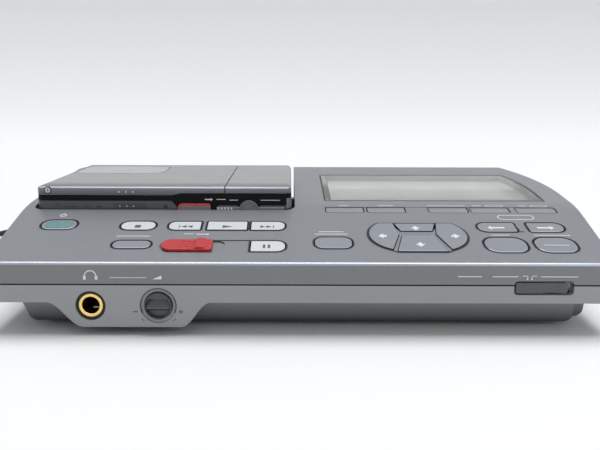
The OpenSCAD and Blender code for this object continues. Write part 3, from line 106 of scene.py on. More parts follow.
def moulded_grain_group():
    """Fine moulded grain and broad handling smudges, on the piece's own coordinates."""
    group = bpy.data.node_groups.new("moulded_grain", "ShaderNodeTree")
    for name in ("Grain Scale", "Smudge Scale"):
        group.interface.new_socket(name, in_out="INPUT", socket_type="NodeSocketFloat")
    for name in ("Grain", "Smudge"):
        group.interface.new_socket(name, in_out="OUTPUT", socket_type="NodeSocketFloat")
    nodes, links = group.nodes, group.links
    given, out = nodes.new("NodeGroupInput"), nodes.new("NodeGroupOutput")
    place = nodes.new("ShaderNodeTexCoord")
    for name, detail in (("Grain", 2), ("Smudge", 4)):
        noise = nodes.new("ShaderNodeTexNoise")
        noise.inputs["Detail"].default_value = detail
        links.new(place.outputs["Object"], noise.inputs["Vector"])
        links.new(given.outputs[name + " Scale"], noise.inputs["Scale"])
        links.new(noise.outputs["Fac"], out.inputs[name])
    return group


grain_group = moulded_grain_group()


def finish(name, colour, roughness, grain=1500, depth=0.02, tone=0.05, metallic=0.0, coat=0.0, smudge=45):
    """A moulded, painted or metal surface: grain in colour and relief, smudges in gloss."""
    material = bpy.data.materials.new(name)
    material.use_nodes = True
    nodes, links = material.node_tree.nodes, material.node_tree.links
    shader = nodes["Principled BSDF"]
    shader.inputs["Metallic"].default_value = metallic
    shader.inputs["Coat Weight"].default_value = coat
    shader.inputs["Coat Roughness"].default_value = 0.22
    surface = nodes.new("ShaderNodeGroup")
    surface.node_tree = grain_group
    surface.inputs["Grain Scale"].default_value = grain
    surface.inputs["Smudge Scale"].default_value = smudge
    shade = nodes.new("ShaderNodeMix")
    shade.name = "shade"
    shade.data_type = "RGBA"
    shade.inputs["A"].default_value = toned(colour, 1 - tone)
    shade.inputs["B"].default_value = toned(colour, 1 + tone)
    links.new(surface.outputs["Grain"], shade.inputs["Factor"])
    links.new(shade.outputs["Result"], shader.inputs["Base Color"])
    gloss = nodes.new("ShaderNodeMapRange")
    gloss.inputs["From Min"].default_value = 0.3
    gloss.inputs["From Max"].default_value = 0.7
    gloss.inputs["To Min"].default_value = max(0.02, roughness - 0.05)
    gloss.inputs["To Max"].default_value = roughness + 0.05
    links.new(surface.outputs["Smudge"], gloss.inputs["Value"])
    links.new(gloss.outputs["Result"], shader.inputs["Roughness"])
    relief = nodes.new("ShaderNodeBump")
    relief.inputs["Strength"].default_value = 0.5
    relief.inputs["Distance"].default_value = depth * MM
    links.new(surface.outputs["Grain"], relief.inputs["Height"])
    links.new(relief.outputs["Normal"], shader.inputs["Normal"])
    return material


def dress(material, *nodes):
    """Gives CAD nodes their finish."""
    for node in nodes:
        mesh = frame["nodes"][node].data
        mesh.materials.clear()
        mesh.materials.append(material)


lead_black = finish("lead_black", linear(30, 30, 31), 0.62, grain=2500, depth=0.03, tone=0.12)
tie_white = finish("tie_white", linear(222, 222, 216), 0.45)
dress(lead_black, "strain_relief", "mains_plug")
dress(tie_white, "coil_tie")

front_y = -66.4
lead_r = 1.5
lead_route = [(-60, 148, 9), (-60, 156, 9), (-62, 168, 7), (-68, 182, 3), (-80, 198, 1.5), (-98, 211, 1.5),
              (-120, 218, 1.5), (-142, 218, 1.5), (-160, 211, 1.5), (-173, 201, 1.5), (-181, 190, 1.5),
              (-187, 178, 1.5), (-192, 165, 1.5), (-196, 152, 1.5), (-198, 140, 1.5), (-198, 128, 1.5)]
route_steps = 4
coil_turns, coil_pitch, coil_layers, loop_rings = 3, 3.9, 4, 24
coil_out_r = 18 + coil_turns * coil_pitch / 2
coil_x, coil_y = -198 - coil_out_r, 125
layer_span = coil_turns + 0.5
coil_total = coil_layers * layer_span - 0.5


def along_route(a, b, c, d, t):
    """A smooth curve from b to c, with a before and d after."""
    a, b, c, d = (Vector(p) for p in (a, b, c, d))
    return 0.5 * (2 * b + (c - a) * t + (2 * a - 5 * b + 4 * c - d) * t ** 2 + (3 * b - a - 3 * c + d) * t ** 3)


def coil_point(u):
    """The coil's line after u turns: in, up, out, up, one layer a spiral."""
    layer = min(int(u / layer_span), coil_layers - 1)
    part = u - layer * layer_span
    inwards = min(part, coil_turns) * coil_pitch
    radius = coil_out_r - inwards if layer % 2 == 0 else coil_out_r - coil_turns * coil_pitch + inwards
    climb = max(part - coil_turns, 0) / 0.5
    height = lead_r + (layer + (1 - math.cos(math.pi * climb)) / 2) * coil_pitch
    turn = -2 * math.pi * u
    return Vector((coil_x + radius * math.cos(turn), coil_y + radius * math.sin(turn), height))


lead_line = [along_route(lead_route[max(i - 1, 0)], lead_route[i], lead_route[i + 1],
                         lead_route[min(i + 2, len(lead_route) - 1)], k / route_steps)
             for i in range(len(lead_route) - 1) for k in range(route_steps)]
lead_line.append(Vector(lead_route[-1]))
coil_n = round(coil_total * loop_rings)
lead_line += [coil_point(i * coil_total / coil_n) for i in range(coil_n + 1)]
lead_line.append(lead_line[-1] + Vector((0, 12, 0)))
lead_line = [(p + Vector((0, front_y, 0))) * MM for p in lead_line]

lead_curve = bpy.data.curves.new("mains_lead", "CURVE")
lead_curve.dimensions = "3D"
lead_curve.bevel_depth = lead_r * MM
lead_curve.bevel_resolution = 6
lead_curve.use_fill_caps = True
spline = lead_curve.splines.new("POLY")
spline.points.add(len(lead_line) - 1)
for point, at in zip(spline.points, lead_line):
    point.co = (*at, 1)
spline.use_smooth = True
lead_curve.materials.append(lead_black)
mains_lead = placed("mains_lead", lead_curve)
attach(mains_lead, "station")
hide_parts("power_cord", "cord_coil")

# Table and backdrop, and the light.
# One pale sweep of paper under and behind the station, lit by a large soft lamp above, a strip that only
# glossy surfaces show, and a small fill at the right. The pale room shows to the eye, in metal and in glass.
sweep_paper = finish("sweep_paper", linear(245, 246, 247), 0.9, grain=400, depth=0.01, tone=0.004)
bm = bmesh.new()
sweep_half, bend_y, bend_r, bend_steps = 30, 0.9, 2, 24
turns = [math.pi / 2 / bend_steps * i for i in range(1, bend_steps + 1)]
rows = [(-sweep_half, 0), (bend_y, 0)]
rows += [(bend_y + bend_r * math.sin(a), bend_r - bend_r * math.cos(a)) for a in turns]
rows += [(bend_y + bend_r, 2 * bend_r)]
paper_end = [bm.verts.new((-sweep_half, y, z)) for y, z in rows]
paper_edge = [bm.edges.new(pair) for pair in zip(paper_end, paper_end[1:])]
swept = bmesh.ops.extrude_edge_only(bm, edges=paper_edge)
paper_far = [v for v in swept["geom"] if isinstance(v, bmesh.types.BMVert)]
bmesh.ops.translate(bm, vec=(2 * sweep_half, 0, 0), verts=paper_far)
bmesh.ops.recalc_face_normals(bm, faces=bm.faces)
sweep_mesh = bpy.data.meshes.new("sweep")
for face in bm.faces:
    face.smooth = True
bm.to_mesh(sweep_mesh)
bm.free()
sweep_mesh.materials.append(sweep_paper)
sweep = placed("sweep", sweep_mesh)

world = bpy.data.worlds.new("studio")
bpy.context.scene.world = world
world.use_nodes = True
world_nodes, world_links = world.node_tree.nodes, world.node_tree.links
air = world_nodes["Background"]
air.inputs["Color"].default_value = (0.98, 0.99, 1, 1)
air.inputs["Strength"].default_value = 0.35
room = world_nodes.new("ShaderNodeBackground")
room.inputs["Color"].default_value = (0.86, 0.87, 0.88, 1)
ray = world_nodes.new("ShaderNodeLightPath")
mirrored, shown = (world_nodes.new("ShaderNodeMath") for _ in range(2))
mirrored.operation = shown.operation = "MAXIMUM"
pale = world_nodes.new("ShaderNodeMixShader")
for source, target in ((ray.outputs["Is Glossy Ray"], mirrored.inputs[0]),
                       (ray.outputs["Is Transmission Ray"], mirrored.inputs[1]),
                       (ray.outputs["Is Camera Ray"], shown.inputs[0]),
                       (mirrored.outputs["Value"], shown.inputs[1]),
                       (shown.outputs["Value"], pale.inputs["Fac"]),
                       (air.outputs["Background"], pale.inputs[1]),
                       (room.outputs["Background"], pale.inputs[2]),
                       (pale.outputs["Shader"], world_nodes["World Output"].inputs["Surface"])):
    world_links.new(source, target)

softbox = placed("softbox", bpy.data.lights.new("softbox", "SUN"))
softbox.data.energy = 2.15
softbox.data.angle = math.radians(38)
softbox.rotation_euler = (math.radians(-10.5), math.radians(3), 0)
softbox.visible_glossy = False
strip = placed("strip", bpy.data.lights.new("strip", "AREA"))
strip.data.shape = "RECTANGLE"
strip.data.size, strip.data.size_y = 1.6, 0.5
strip.data.energy = 12
strip.location = (0, -0.15, 1.3)
strip.visible_diffuse = False
strip.visible_transmission = False
fill = placed("fill", bpy.data.lights.new("fill", "AREA"))
fill.data.size = 0.3
fill.data.energy = 0.35
fill.location = (0.45, -0.45, 0.25)
fill.rotation_euler = (Vector((0.05, 0, 0.02)) - fill.location).to_track_quat("-Z", "Y").to_euler()
bpy.context.scene.view_settings.view_transform = "Standard"

# Lower case.
# Band, chin and base tub moulded in one from grey plastic, painted silver-grey on the outside.
# Four screws from below hold it to the upper case, and rubber feet are stuck into round seats.
case_paint = finish("case_paint", linear(133, 136, 142), 0.45, grain=2200, depth=0.012, tone=0.07, metallic=0.2,
                    coat=0.4)
foot_rubber = finish("foot_rubber", linear(28, 28, 28), 0.8, grain=1800, depth=0.05, tone=0.15)
bright_zinc = finish("bright_zinc", linear(178, 181, 186), 0.32, grain=900, depth=0.01, tone=0.08, metallic=1.0)
base_paint = finish("base_paint", linear(154, 156, 159), 0.45, grain=2200, depth=0.015, tone=0.07, metallic=0.2)
# Near-black painted shade for the tongue in the parting gap, the walls of the key openings and what lies under the
# key panel.
inside_painted_shade = finish("inside_painted_shade", linear(34, 35, 37), 0.6, grain=1500, depth=0.02, tone=0.1)
tub_painted_shade = finish("tub_painted_shade", linear(140, 143, 148), 0.5, grain=2200, depth=0.015, tone=0.07)


def zoned(material, axis, start, end, colour):
    """Lays a colour over a finish where the piece's own coordinate passes from start to end millimetres."""
    nodes, links = material.node_tree.nodes, material.node_tree.links
    shader = nodes["Principled BSDF"]
    below = shader.inputs["Base Color"].links[0].from_socket
    place, axes = nodes.new("ShaderNodeTexCoord"), nodes.new("ShaderNodeSeparateXYZ")
    links.new(place.outputs["Object"], axes.inputs["Vector"])
    span = nodes.new("ShaderNodeMapRange")
    span.inputs["From Min"].default_value = start * MM
    span.inputs["From Max"].default_value = end * MM
    links.new(axes.outputs[axis], span.inputs["Value"])
    laid = nodes.new("ShaderNodeMix")
    laid.data_type = "RGBA"
    laid.inputs["B"].default_value = colour
    links.new(span.outputs["Result"], laid.inputs["Factor"])
    links.new(below, laid.inputs["A"])
    links.new(laid.outputs["Result"], shader.inputs["Base Color"])


def piece(name, bm, material, body):
    """Makes a finished mesh a piece that rides on a body."""
    mesh = bpy.data.meshes.new(name)
    bm.to_mesh(mesh)
    bm.free()
    mesh.materials.append(material)
    made = placed(name, mesh)
    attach(made, body)
    return made


def merged_copy(node):
    """A CAD node's mesh with its triangles joined to flat faces."""
    bm = bmesh.new()
    bm.from_mesh(frame["nodes"][node].data)
    bmesh.ops.remove_doubles(bm, verts=bm.verts, dist=0.002 * MM)
    bmesh.ops.dissolve_limit(bm, angle_limit=math.radians(0.5), verts=bm.verts, edges=bm.edges)
    return bm


def top_face(bm):
    """The largest face that looks up."""
    return max((face for face in bm.faces if face.normal.z > 0.85), key=lambda face: face.calc_area())


def softened(node, edge, material, segments=2, least=35, picks=(), rolled=None, sunk=0):
    """A copy of a CAD node with its sharp edges rounded by edge millimetres, as a moulding has.

    picks are pairs of a test on a face's middle and normal, and the finish for the faces that pass it.
    rolled is a test on an edge's middle and a larger radius for the edges that pass it.
    sunk is how far the crown of a key is pressed flat, in millimetres.
    """
    bm = merged_copy(node)
    sharp_angle = math.radians(least)
    if sunk:
        top = top_face(bm)
        up, level = top.normal.copy(), top.normal.dot(top.verts[0].co)
        for v in bm.verts:
            v.co -= up * max(up.dot(v.co) - level + crown_h * MM, 0) * sunk / crown_h
        crowns[node] = [v.co.copy() for v in top.verts], up
    if rolled:
        chosen = [e for e in bm.edges if e.is_manifold and e.calc_face_angle() > sharp_angle
                  and rolled[0]((e.verts[0].co + e.verts[1].co) / 2)]
        bmesh.ops.bevel(bm, geom=chosen, offset=rolled[1] * MM, offset_type="OFFSET", segments=5, profile=0.5,
                        affect="EDGES", material=-1, clamp_overlap=True)
    sharp = [e for e in bm.edges if e.is_manifold and e.calc_face_angle() > sharp_angle]
    bmesh.ops.bevel(bm, geom=sharp, offset=edge * MM, offset_type="OFFSET", segments=segments, profile=0.5,
                    affect="EDGES", material=-1, clamp_overlap=True)
    for face in bm.faces:
        face.smooth = True
        middle, normal = face.calc_center_median(), face.normal
        face.material_index = next((i for i, (test, _) in enumerate(picks, 1) if test(middle, normal)), 0)
    body = body_of(frame["nodes"][node])[0]
    made = piece(node + "_soft", bm, material, body)
    for _, other in picks:
        made.data.materials.append(other)
    made.data.set_sharp_from_angle(angle=sharp_angle)
    even = made.modifiers.new("even_shading", "WEIGHTED_NORMAL")
    even.keep_sharp = True
    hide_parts(node)
    return made


# The base tub takes a darker copy of the lower case's paint as painted shade under the band's overhang. It is darker
# still towards the bottom, with a dark line of painted shadow just under the band.
zoned(tub_painted_shade, "Z", 11, 2, linear(66, 66, 68))
zoned(tub_painted_shade, "Z", 12.2, 12.9, linear(84, 86, 90))
softened("lower_case", 0.35, base_paint, picks=[
    (lambda at, facing: at.z < 13.4 * MM and at.y > -64 * MM, tub_painted_shade),
    (lambda at, facing: at.z > 19.7 * MM, inside_painted_shade)])
dress(foot_rubber, "rubber_feet")
dress(bright_zinc, "case_screws")

# Boards, transformer and rear sockets.
# Green boards on posts, a varnished transformer and black socket blocks, all fixed inside the case.
board_green = finish("board_green", linear(38, 92, 58), 0.4, grain=600, depth=0.02, tone=0.2)
varnished_iron = finish("varnished_iron", linear(122, 112, 92), 0.45, grain=500, depth=0.03, tone=0.15, metallic=0.5)
socket_black = finish("socket_black", linear(10, 10, 11), 0.5, grain=1800, depth=0.03, tone=0.12)
dress(board_green, "main_board", "key_board")
dress(varnished_iron, "power_supply")
dress(socket_black, "rear_sockets", "dock_connector", "headphone_jack")

# Headphone socket.
# A turned gilt bush in a black socket body; the plug's contact spring shows at the bottom of the bore.
gilt = finish("gilt", linear(240, 208, 132), 0.24, grain=500, depth=0.01, tone=0.08, metallic=1.0)
softened("jack_bush", 0.45, gilt, segments=4)
jack_x, jack_y, jack_z = -81.2, front_y, 11.7
bm = bmesh.new()
bmesh.ops.create_cube(bm, size=1)
bmesh.ops.scale(bm, vec=(2.6 * MM, 6 * MM, 0.5 * MM), verts=bm.verts)
bmesh.ops.translate(bm, vec=((jack_x + 0.9) * MM, (jack_y + 8) * MM, (jack_z - 2.2) * MM), verts=bm.verts)
bmesh.ops.bevel(bm, geom=bm.edges[:], offset=0.2 * MM, segments=2, profile=0.5, affect="EDGES", material=-1)
piece("jack_spring", bm, bright_zinc, "station")

# Volume knob and its potentiometer.
# A dark grey cap, turned as one profile, with a ridge for the fingers across its hollow front.
# It is pressed on the shaft of a zinc-plated potentiometer behind the band.
knob_grey = finish("knob_grey", linear(62, 65, 68), 0.28, grain=2000, depth=0.02, tone=0.1, coat=0.5)
knob_x, knob_r, knob_out, hollow_r, hollow_in = -55.6, 5.2, 1.2, 4.65, 0.9
knob_back = 11
knob_profile = [(0, knob_back), (knob_r, knob_back), (knob_r, 0.35 - knob_out), (knob_r - 0.12, 0.1 - knob_out),
                (knob_r - 0.35, -knob_out), (hollow_r + 0.1, -knob_out), (hollow_r, 0.15 - knob_out),
                (hollow_r, hollow_in), (0, hollow_in)]
bm = bmesh.new()
knob_points = [bm.verts.new((r, y, 0)) for r, y in knob_profile]
knob_line = [bm.edges.new(pair) for pair in zip(knob_points, knob_points[1:])]
bmesh.ops.spin(bm, geom=knob_points + knob_line, cent=(0, 0, 0), axis=(0, 1, 0), angle=2 * math.pi, steps=64,
               use_merge=True)
bmesh.ops.remove_doubles(bm, verts=bm.verts, dist=0.001)
ridge = [(-4.0, hollow_in, -2.1), (4.0, hollow_in, -2.1), (4.45, 0.05 - knob_out, -0.8),
         (4.4, 0.5 - knob_out, -0.35), (4.0, hollow_in, 2.3), (-4.0, hollow_in, 2.3),
         (-4.4, 0.5 - knob_out, -0.35), (-4.45, 0.05 - knob_out, -0.8)]
ends = [bm.verts.new(co) for co in ridge]
for corners in ((0, 1, 2, 7), (7, 2, 3, 6), (6, 3, 4, 5), (0, 7, 6, 5), (1, 4, 3, 2), (0, 5, 4, 1)):
    bm.faces.new([ends[i] for i in corners])
bmesh.ops.recalc_face_normals(bm, faces=bm.faces)
for face in bm.faces:
    face.smooth = True
in_metres = Matrix.Diagonal((MM, MM, MM, 1))
knob_at = Matrix.Translation((knob_x * MM, jack_y * MM, jack_z * MM))
bmesh.ops.transform(bm, matrix=knob_at @ in_metres, verts=bm.verts)
knob_cap = piece("volume_knob_cap", bm, knob_grey, "knob")
knob_cap.data.set_sharp_from_angle(angle=math.radians(25))
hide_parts("volume_knob")
dress(bright_zinc, "volume_pot")

# Input switch.
# A smoky grey slide with a hollow for the finger, which carries the tab of the switch behind it.
switch_grey = finish("switch_grey", linear(84, 88, 92), 0.3, grain=1500, depth=0.02, tone=0.08)
softened("input_switch_knob", 0.2, switch_grey)
dress(bright_zinc, "input_switch_body")

# Upper case.
# Key panel, display panel and recorder bay in one moulding, painted silver-grey with a satin finish.
# The front face of the upper case takes a darker copy of the case paint, as painted shade.
front_painted_shade = finish("front_painted_shade", linear(126, 127, 130), 0.42, grain=2200, depth=0.015, tone=0.07, metallic=0.4)
panel_z, panel_slope = 28.4, 15.5
key_panel = Matrix.Translation((0, front_y * MM, panel_z * MM)) @ Matrix.Rotation(math.radians(panel_slope), 4, "X")
panel_inverse = key_panel.inverted()
panel_normal = key_panel.to_3x3() @ Vector((0, 0, 1))


def under_panel(at, facing):
    """Walls of the key openings and all that lies under the key panel."""
    seat = panel_inverse @ at
    wall = facing.dot(panel_normal) < 0.5 and seat.z < -0.03 * MM
    return (wall or seat.z < -2 * MM) and abs(seat.x) < 110 * MM and 4 * MM < seat.y < 46 * MM


def under_window(at, side):
    """The rim that carries the display window, on the left (side -1) or the right (1) of its bend."""
    top_z = window_rear_z * MM - (window_rear_y * MM - at.y) * math.tan(math.radians(window_slope))
    inside = window_left * MM < at.x < window_right * MM and abs(at.y - window_y * MM) < window_half * MM
    return inside and at.z < top_z - rim_depth * MM and side * (at.x - rim_bend_x * MM) > 0


window_rear_y, window_rear_z, window_slope = 45.6, 47.28, 4.98
window_left, window_right, window_y, window_half = 9.4, 110.3, 18.4, 27.7
rim_depth, rim_bend_x, front_roll_r = 1.3, 85, 1.6
# The rim under the window is painted lighter towards the rear on each side of its bend, as painted reflection in the
# window.
bezel_left_painted_reflection = finish("bezel_left_painted_reflection", linear(116, 119, 124), 0.4, grain=2200, depth=0.015, tone=0.07)
bezel_right_painted_reflection = finish("bezel_right_painted_reflection", linear(116, 119, 124), 0.4, grain=2200, depth=0.015, tone=0.07)
zoned(bezel_left_painted_reflection, "Y", 27, 36, linear(188, 190, 188))
zoned(bezel_right_painted_reflection, "Y", 20, 30, linear(196, 198, 197))
# A painted highlight along the rounded front edge of the key panel.
edge_painted_highlight = finish("edge_painted_highlight", linear(162, 168, 178), 0.34, grain=2200, depth=0.012, tone=0.05, metallic=0.85)


def front_roll(at, facing):
    """The rounded front edge of the key panel."""
    return at.y < (front_y + 2) * MM and at.z > (panel_z - 1.9) * MM and facing.y < -0.3 and 0.15 < facing.z < 0.955


softened("upper_case", 0.3, case_paint, picks=[
    (front_roll, edge_painted_highlight), (lambda at, facing: facing.y < -0.9 and at.y < (front_y + 0.4) * MM, front_painted_shade),
    (under_panel, inside_painted_shade), (lambda at, facing: under_window(at, -1), bezel_left_painted_reflection),
    (lambda at, facing: under_window(at, 1), bezel_right_painted_reflection)],
    rolled=(lambda at: at.y < (front_y + 0.2) * MM and abs(at.z - panel_z * MM) < 0.2 * MM, front_roll_r))

# Display.
# A clear moulded window, cemented flush in the panel over a liquid crystal cell with a pale reflector.
# The cell's pale colour carries painted reflection and shade: lighter towards the rear in steps, with a bright band
# across it, and darker towards its right end.
lcd_pale_and_painted_reflection = finish("lcd_pale_and_painted_reflection", linear(172, 174, 170), 0.5, grain=900, depth=0.0, tone=0.02)
zoned(lcd_pale_and_painted_reflection, "Y", 2, 23, linear(202, 205, 199))
zoned(lcd_pale_and_painted_reflection, "X", 97, 100, linear(163, 165, 163))
zoned(lcd_pale_and_painted_reflection, "Y", 24, 25.5, linear(236, 238, 233))
zoned(lcd_pale_and_painted_reflection, "Y", 33, 36, linear(222, 224, 220))
dress(lcd_pale_and_painted_reflection, "lcd_panel")


def shader_of(material):
    """The inputs of a finish's shader."""
    return material.node_tree.nodes["Principled BSDF"].inputs


window_clear = finish("window_clear", linear(240, 240, 239), 0.06, grain=60, depth=0.0, tone=0.01)
shader_of(window_clear)["Transmission Weight"].default_value = 1.0
shader_of(window_clear)["IOR"].default_value = 1.42
dress(window_clear, "display_window")

# Dark band round the display window.
# A dark band between window and panel, as wide as the window's rounded rim: painted shade at the window's edge.
# Near-black for print, dark joints and the dark cup of a screw, and as painted shade round the window, the key
# openings and the input switch.
dark_print_and_painted_shade = finish("dark_print_and_painted_shade", linear(34, 35, 37), 0.5, grain=2000, depth=0.0, tone=0.1)


def grown(loop, up, by):
    """The loop of points moved outwards by millimetres in its plane."""
    moved = []
    for before, here, after in zip(loop[-1:] + loop[:-1], loop, loop[1:] + loop[:1]):
        first, second = (here - before).cross(up).normalized(), (after - here).cross(up).normalized()
        middle = (first + second).normalized()
        moved.append(here + middle * (by * MM / max(middle.dot(first), 0.4)))
    return moved


def thicken(bm, faces, by):
    """Gives flat faces a thickness: a copy of them, moved by a vector and joined to them by walls."""
    raised = bmesh.ops.extrude_face_region(bm, geom=faces, use_keep_orig=True)
    bmesh.ops.translate(bm, vec=by, verts=[v for v in raised["geom"] if isinstance(v, bmesh.types.BMVert)])


def rim_band(bm, loop, up, near, far, level):
    """A thin band between two outlines of the loop, level millimetres above it."""
    inner, outer = ([bm.verts.new(point + up * level * MM) for point in grown(loop, up, by)] for by in (near, far))
    band = [bm.faces.new((inner[i - 1], outer[i - 1], outer[i], inner[i])) for i in range(len(loop))]
    thicken(bm, band, up * band_t * MM)


band_t = 0.03
bm = merged_copy("display_window")
window_top = top_face(bm)
seam_loop, seam_up = [v.co.copy() for v in window_top.verts], window_top.normal.copy()
bm.free()
bm = bmesh.new()
rim_band(bm, seam_loop, seam_up, -0.5, 0.1, 0)
bmesh.ops.recalc_face_normals(bm, faces=bm.faces)
piece("window_edge_painted_shade", bm, dark_print_and_painted_shade, "station")

# Keys.
# Moulded caps with lips under the panel and stems that press switches on the key board.
# The transport keys are white; the others are moulded in the colour of the case.
key_white = finish("key_white", linear(216, 220, 224), 0.35, grain=2500, depth=0.01, tone=0.02)
key_grey = finish("key_grey", linear(150, 154, 162), 0.36, grain=2200, depth=0.015, tone=0.06, metallic=0.3)
# The keys' flanks take near-black painted shade, and the front bevels of the grey keys a painted highlight.
key_flank_painted_shade = finish("key_flank_painted_shade", linear(44, 45, 48), 0.5, grain=2000, depth=0.01, tone=0.1)
key_painted_highlight = finish("key_painted_highlight", linear(196, 200, 208), 0.34, grain=2200, depth=0.012, tone=0.05, metallic=0.5)
painted_flank_shade = [(lambda at, facing: facing.dot(panel_normal) < 0.35, key_flank_painted_shade)]
painted_flank_shade_and_highlight = painted_flank_shade + [(lambda at, facing: facing.y < -0.45 and facing.dot(panel_normal) < 0.96, key_painted_highlight)]
crowns, crown_h = {}, 0.75
for name in ("stop", "previous", "play", "next", "pause"):
    softened(name + "_button", 0.4, key_white, segments=3, picks=painted_flank_shade, sunk=0.6)
grey_keys = ["power", "end_search", "character", "cursor_left", "cursor_right", "cursor_up", "cursor_down",
             "arrow_left", "arrow_right", "oval_left", "oval_right"]
for node in [name + "_button" for name in grey_keys] + ["function_button_%d" % i for i in range(1, 6)]:
    softened(node, 0.4, key_grey, segments=3, picks=painted_flank_shade_and_highlight, sunk=0.4 if node.startswith("cursor") else 0.6)

# Rims of the key openings.
# A dark band round each opening in the panel, one round the four cursor keys together: painted shade of the gaps
# round the keys.
cursors = [node for node in crowns if node.startswith("cursor")]
together = [panel_inverse @ point for node in cursors for point in crowns[node][0]]
hull = geometry.convex_hull_2d([(point.x, point.y) for point in together])
painted_shade_rims = [(*crowns[node], 0.4, 0.95, -0.17) for node in crowns if node not in cursors]
painted_shade_rims.append(([key_panel @ together[i] for i in hull], crowns[cursors[0]][1], 0.2, 1.1, -0.37))
bm = bmesh.new()
for rim in painted_shade_rims:
    rim_band(bm, *rim)
bmesh.ops.recalc_face_normals(bm, faces=bm.faces)
piece("key_rims_painted_shade", bm, dark_print_and_painted_shade, "station")

# Record slider of the station.
# Glossy red plastic, with rows of grip dashes and a raised thumb ridge at its right end.
record_red = finish("record_red", linear(194, 54, 58), 0.28, grain=1800, depth=0.01, tone=0.06)
softened("record_slider", 0.35, record_red, segments=3)

# Printed marks on the keys.
# Screen-printed symbols: thin ink, dark on the white keys and white on the grey ones.
key_top, cursor_top, ink_t = 0.2, 0.4, 0.04


def bar(x0, x1, y0, y1):
    """The corners of an upright rectangle."""
    return [(x0, y0), (x1, y0), (x1, y1), (x0, y1)]


def arrow_mark(x, y, length, width, turn):
    """A plain arrow about x, y, pointing along turn degrees."""
    tip, neck, half, stem = length / 2, length / 2 - 0.55 * width, width / 2, width * 0.17
    outline = [(tip, 0), (neck, half), (neck, stem), (-tip, stem), (-tip, -stem), (neck, -stem), (neck, -half)]
    c, s = math.cos(math.radians(turn)), math.sin(math.radians(turn))
    return [(x + a * c - b * s, y + a * s + b * c) for a, b in outline]


def printed(name, shapes, plane, height, ink, body, arcs=()):
    """Flat ink shapes on a plane, in millimetres; arcs are (x, y, r0, r1, start, sweep)."""
    bm = bmesh.new()
    for shape in shapes:
        bm.faces.new([bm.verts.new((x, y, 0)) for x, y in shape])
    for x, y, r0, r1, start, sweep in arcs:
        c, s = math.cos(math.radians(start)), math.sin(math.radians(start))
        ends = [bm.verts.new((x + r * c, y + r * s, 0)) for r in (r0, r1)]
        bmesh.ops.spin(bm, geom=[*ends, bm.edges.new(ends)], cent=(x, y, 0), axis=(0, 0, 1),
                       angle=math.radians(sweep), steps=24, use_merge=abs(sweep) >= 360)
    bmesh.ops.remove_doubles(bm, verts=bm.verts, dist=0.001)
    thicken(bm, bm.faces[:], (0, 0, ink_t))
    bmesh.ops.recalc_face_normals(bm, faces=bm.faces)
    bmesh.ops.transform(bm, matrix=plane @ in_metres @ Matrix.Translation((0, 0, height)), verts=bm.verts)
    return piece(name, bm, ink, body)


ink_dark = finish("ink_dark", linear(86, 92, 104), 0.5, grain=3000, depth=0.0, tone=0.1)
ink_white = finish("ink_white", linear(232, 234, 236), 0.5, grain=3000, depth=0.0, tone=0.03)


def skip_triangles(x, y, turn):
    """Two triangles and a bar, pointing left (turn -1) or right (1)."""
    half, end_x = 1.1, x + turn * 2.5
    tips = [[(x + turn * a, y - half), (x + turn * a, y + half), (x + turn * (a + 2.2), y)] for a in (-2.9, -0.4)]
    return tips + [bar(end_x - 0.2, end_x + 0.2, y - half, y + half)]


row_v = 29.6
transport_marks = {
    "stop": [bar(-69.6, -67.2, row_v - 1.2, row_v + 1.2)],
    "previous": skip_triangles(-48.8, row_v, -1),
    "play": [[(-33.6, row_v - 1.2), (-33.6, row_v + 1.2), (-29.4, row_v)]],
    "next": skip_triangles(-15.2, row_v, 1),
    "pause": [bar(x, x + 1, 11.4, 14.2) for x in (-16.5, -14.6)]}
for name, mark in transport_marks.items():
    printed(name + "_mark", mark, key_panel, key_top, ink_dark, name + "_key")
for name, x, v, turn in (("cursor_left", 31.1, 21.4, 180), ("cursor_right", 60.4, 21.4, 0),
                         ("cursor_up", 45.4, 28.4, 90), ("cursor_down", 45.2, 14.2, 270)):
    printed(name + "_mark", [arrow_mark(x, v, 3.4, 4, turn)], key_panel, cursor_top, ink_white, name + "_key")
for name, x, turn in (("arrow_left", 78.6, 180), ("arrow_right", 99.0, 0)):
    printed(name + "_mark", [arrow_mark(x, 29.2, 7, 3.2, turn)], key_panel, key_top, ink_white, name + "_key")
printed("oval_right_mark", [bar(93.4, 103.4, 14.2, 14.55)], key_panel, key_top, ink_white, "oval_right_key")

# Prints on the panel and the front.
# White screen-printed ink: a power sign, a record arrow, pill outlines, plain label lines, and the signs of
# headphones, volume and input on the front, with a dark line of painted shade round the switch and dark marks at the
# knob.
row_y, row_z, row_slope, row_sink = 48, 41.711, 10.238, 0.364
front_face = Matrix.Translation((0, front_y * MM, 0)) @ Matrix.Rotation(math.radians(90), 4, "X")
function_row = (Matrix.Translation((0, (row_y + front_y) * MM, row_z * MM))
                @ Matrix.Rotation(math.radians(row_slope), 4, "X") @ Matrix.Translation((0, 0, -row_sink * MM)))


def rounded(x0, x1, y0, y1, radii, steps=6):
    """Outline of a rectangle with round corners: rear right, rear left, front left, front right."""
    a, b, c, d = radii if isinstance(radii, tuple) else (radii,) * 4
    corners = [(x1 - a, y1 - a, a, 0), (x0 + b, y1 - b, b, 90), (x0 + c, y0 + c, c, 180), (x1 - d, y0 + d, d, 270)]
    turns = [math.radians(90 * k / steps) for k in range(steps + 1)]
    return [(x + r * math.cos(math.radians(start) + t), y + r * math.sin(math.radians(start) + t))
            for x, y, r, start in corners for t in turns]


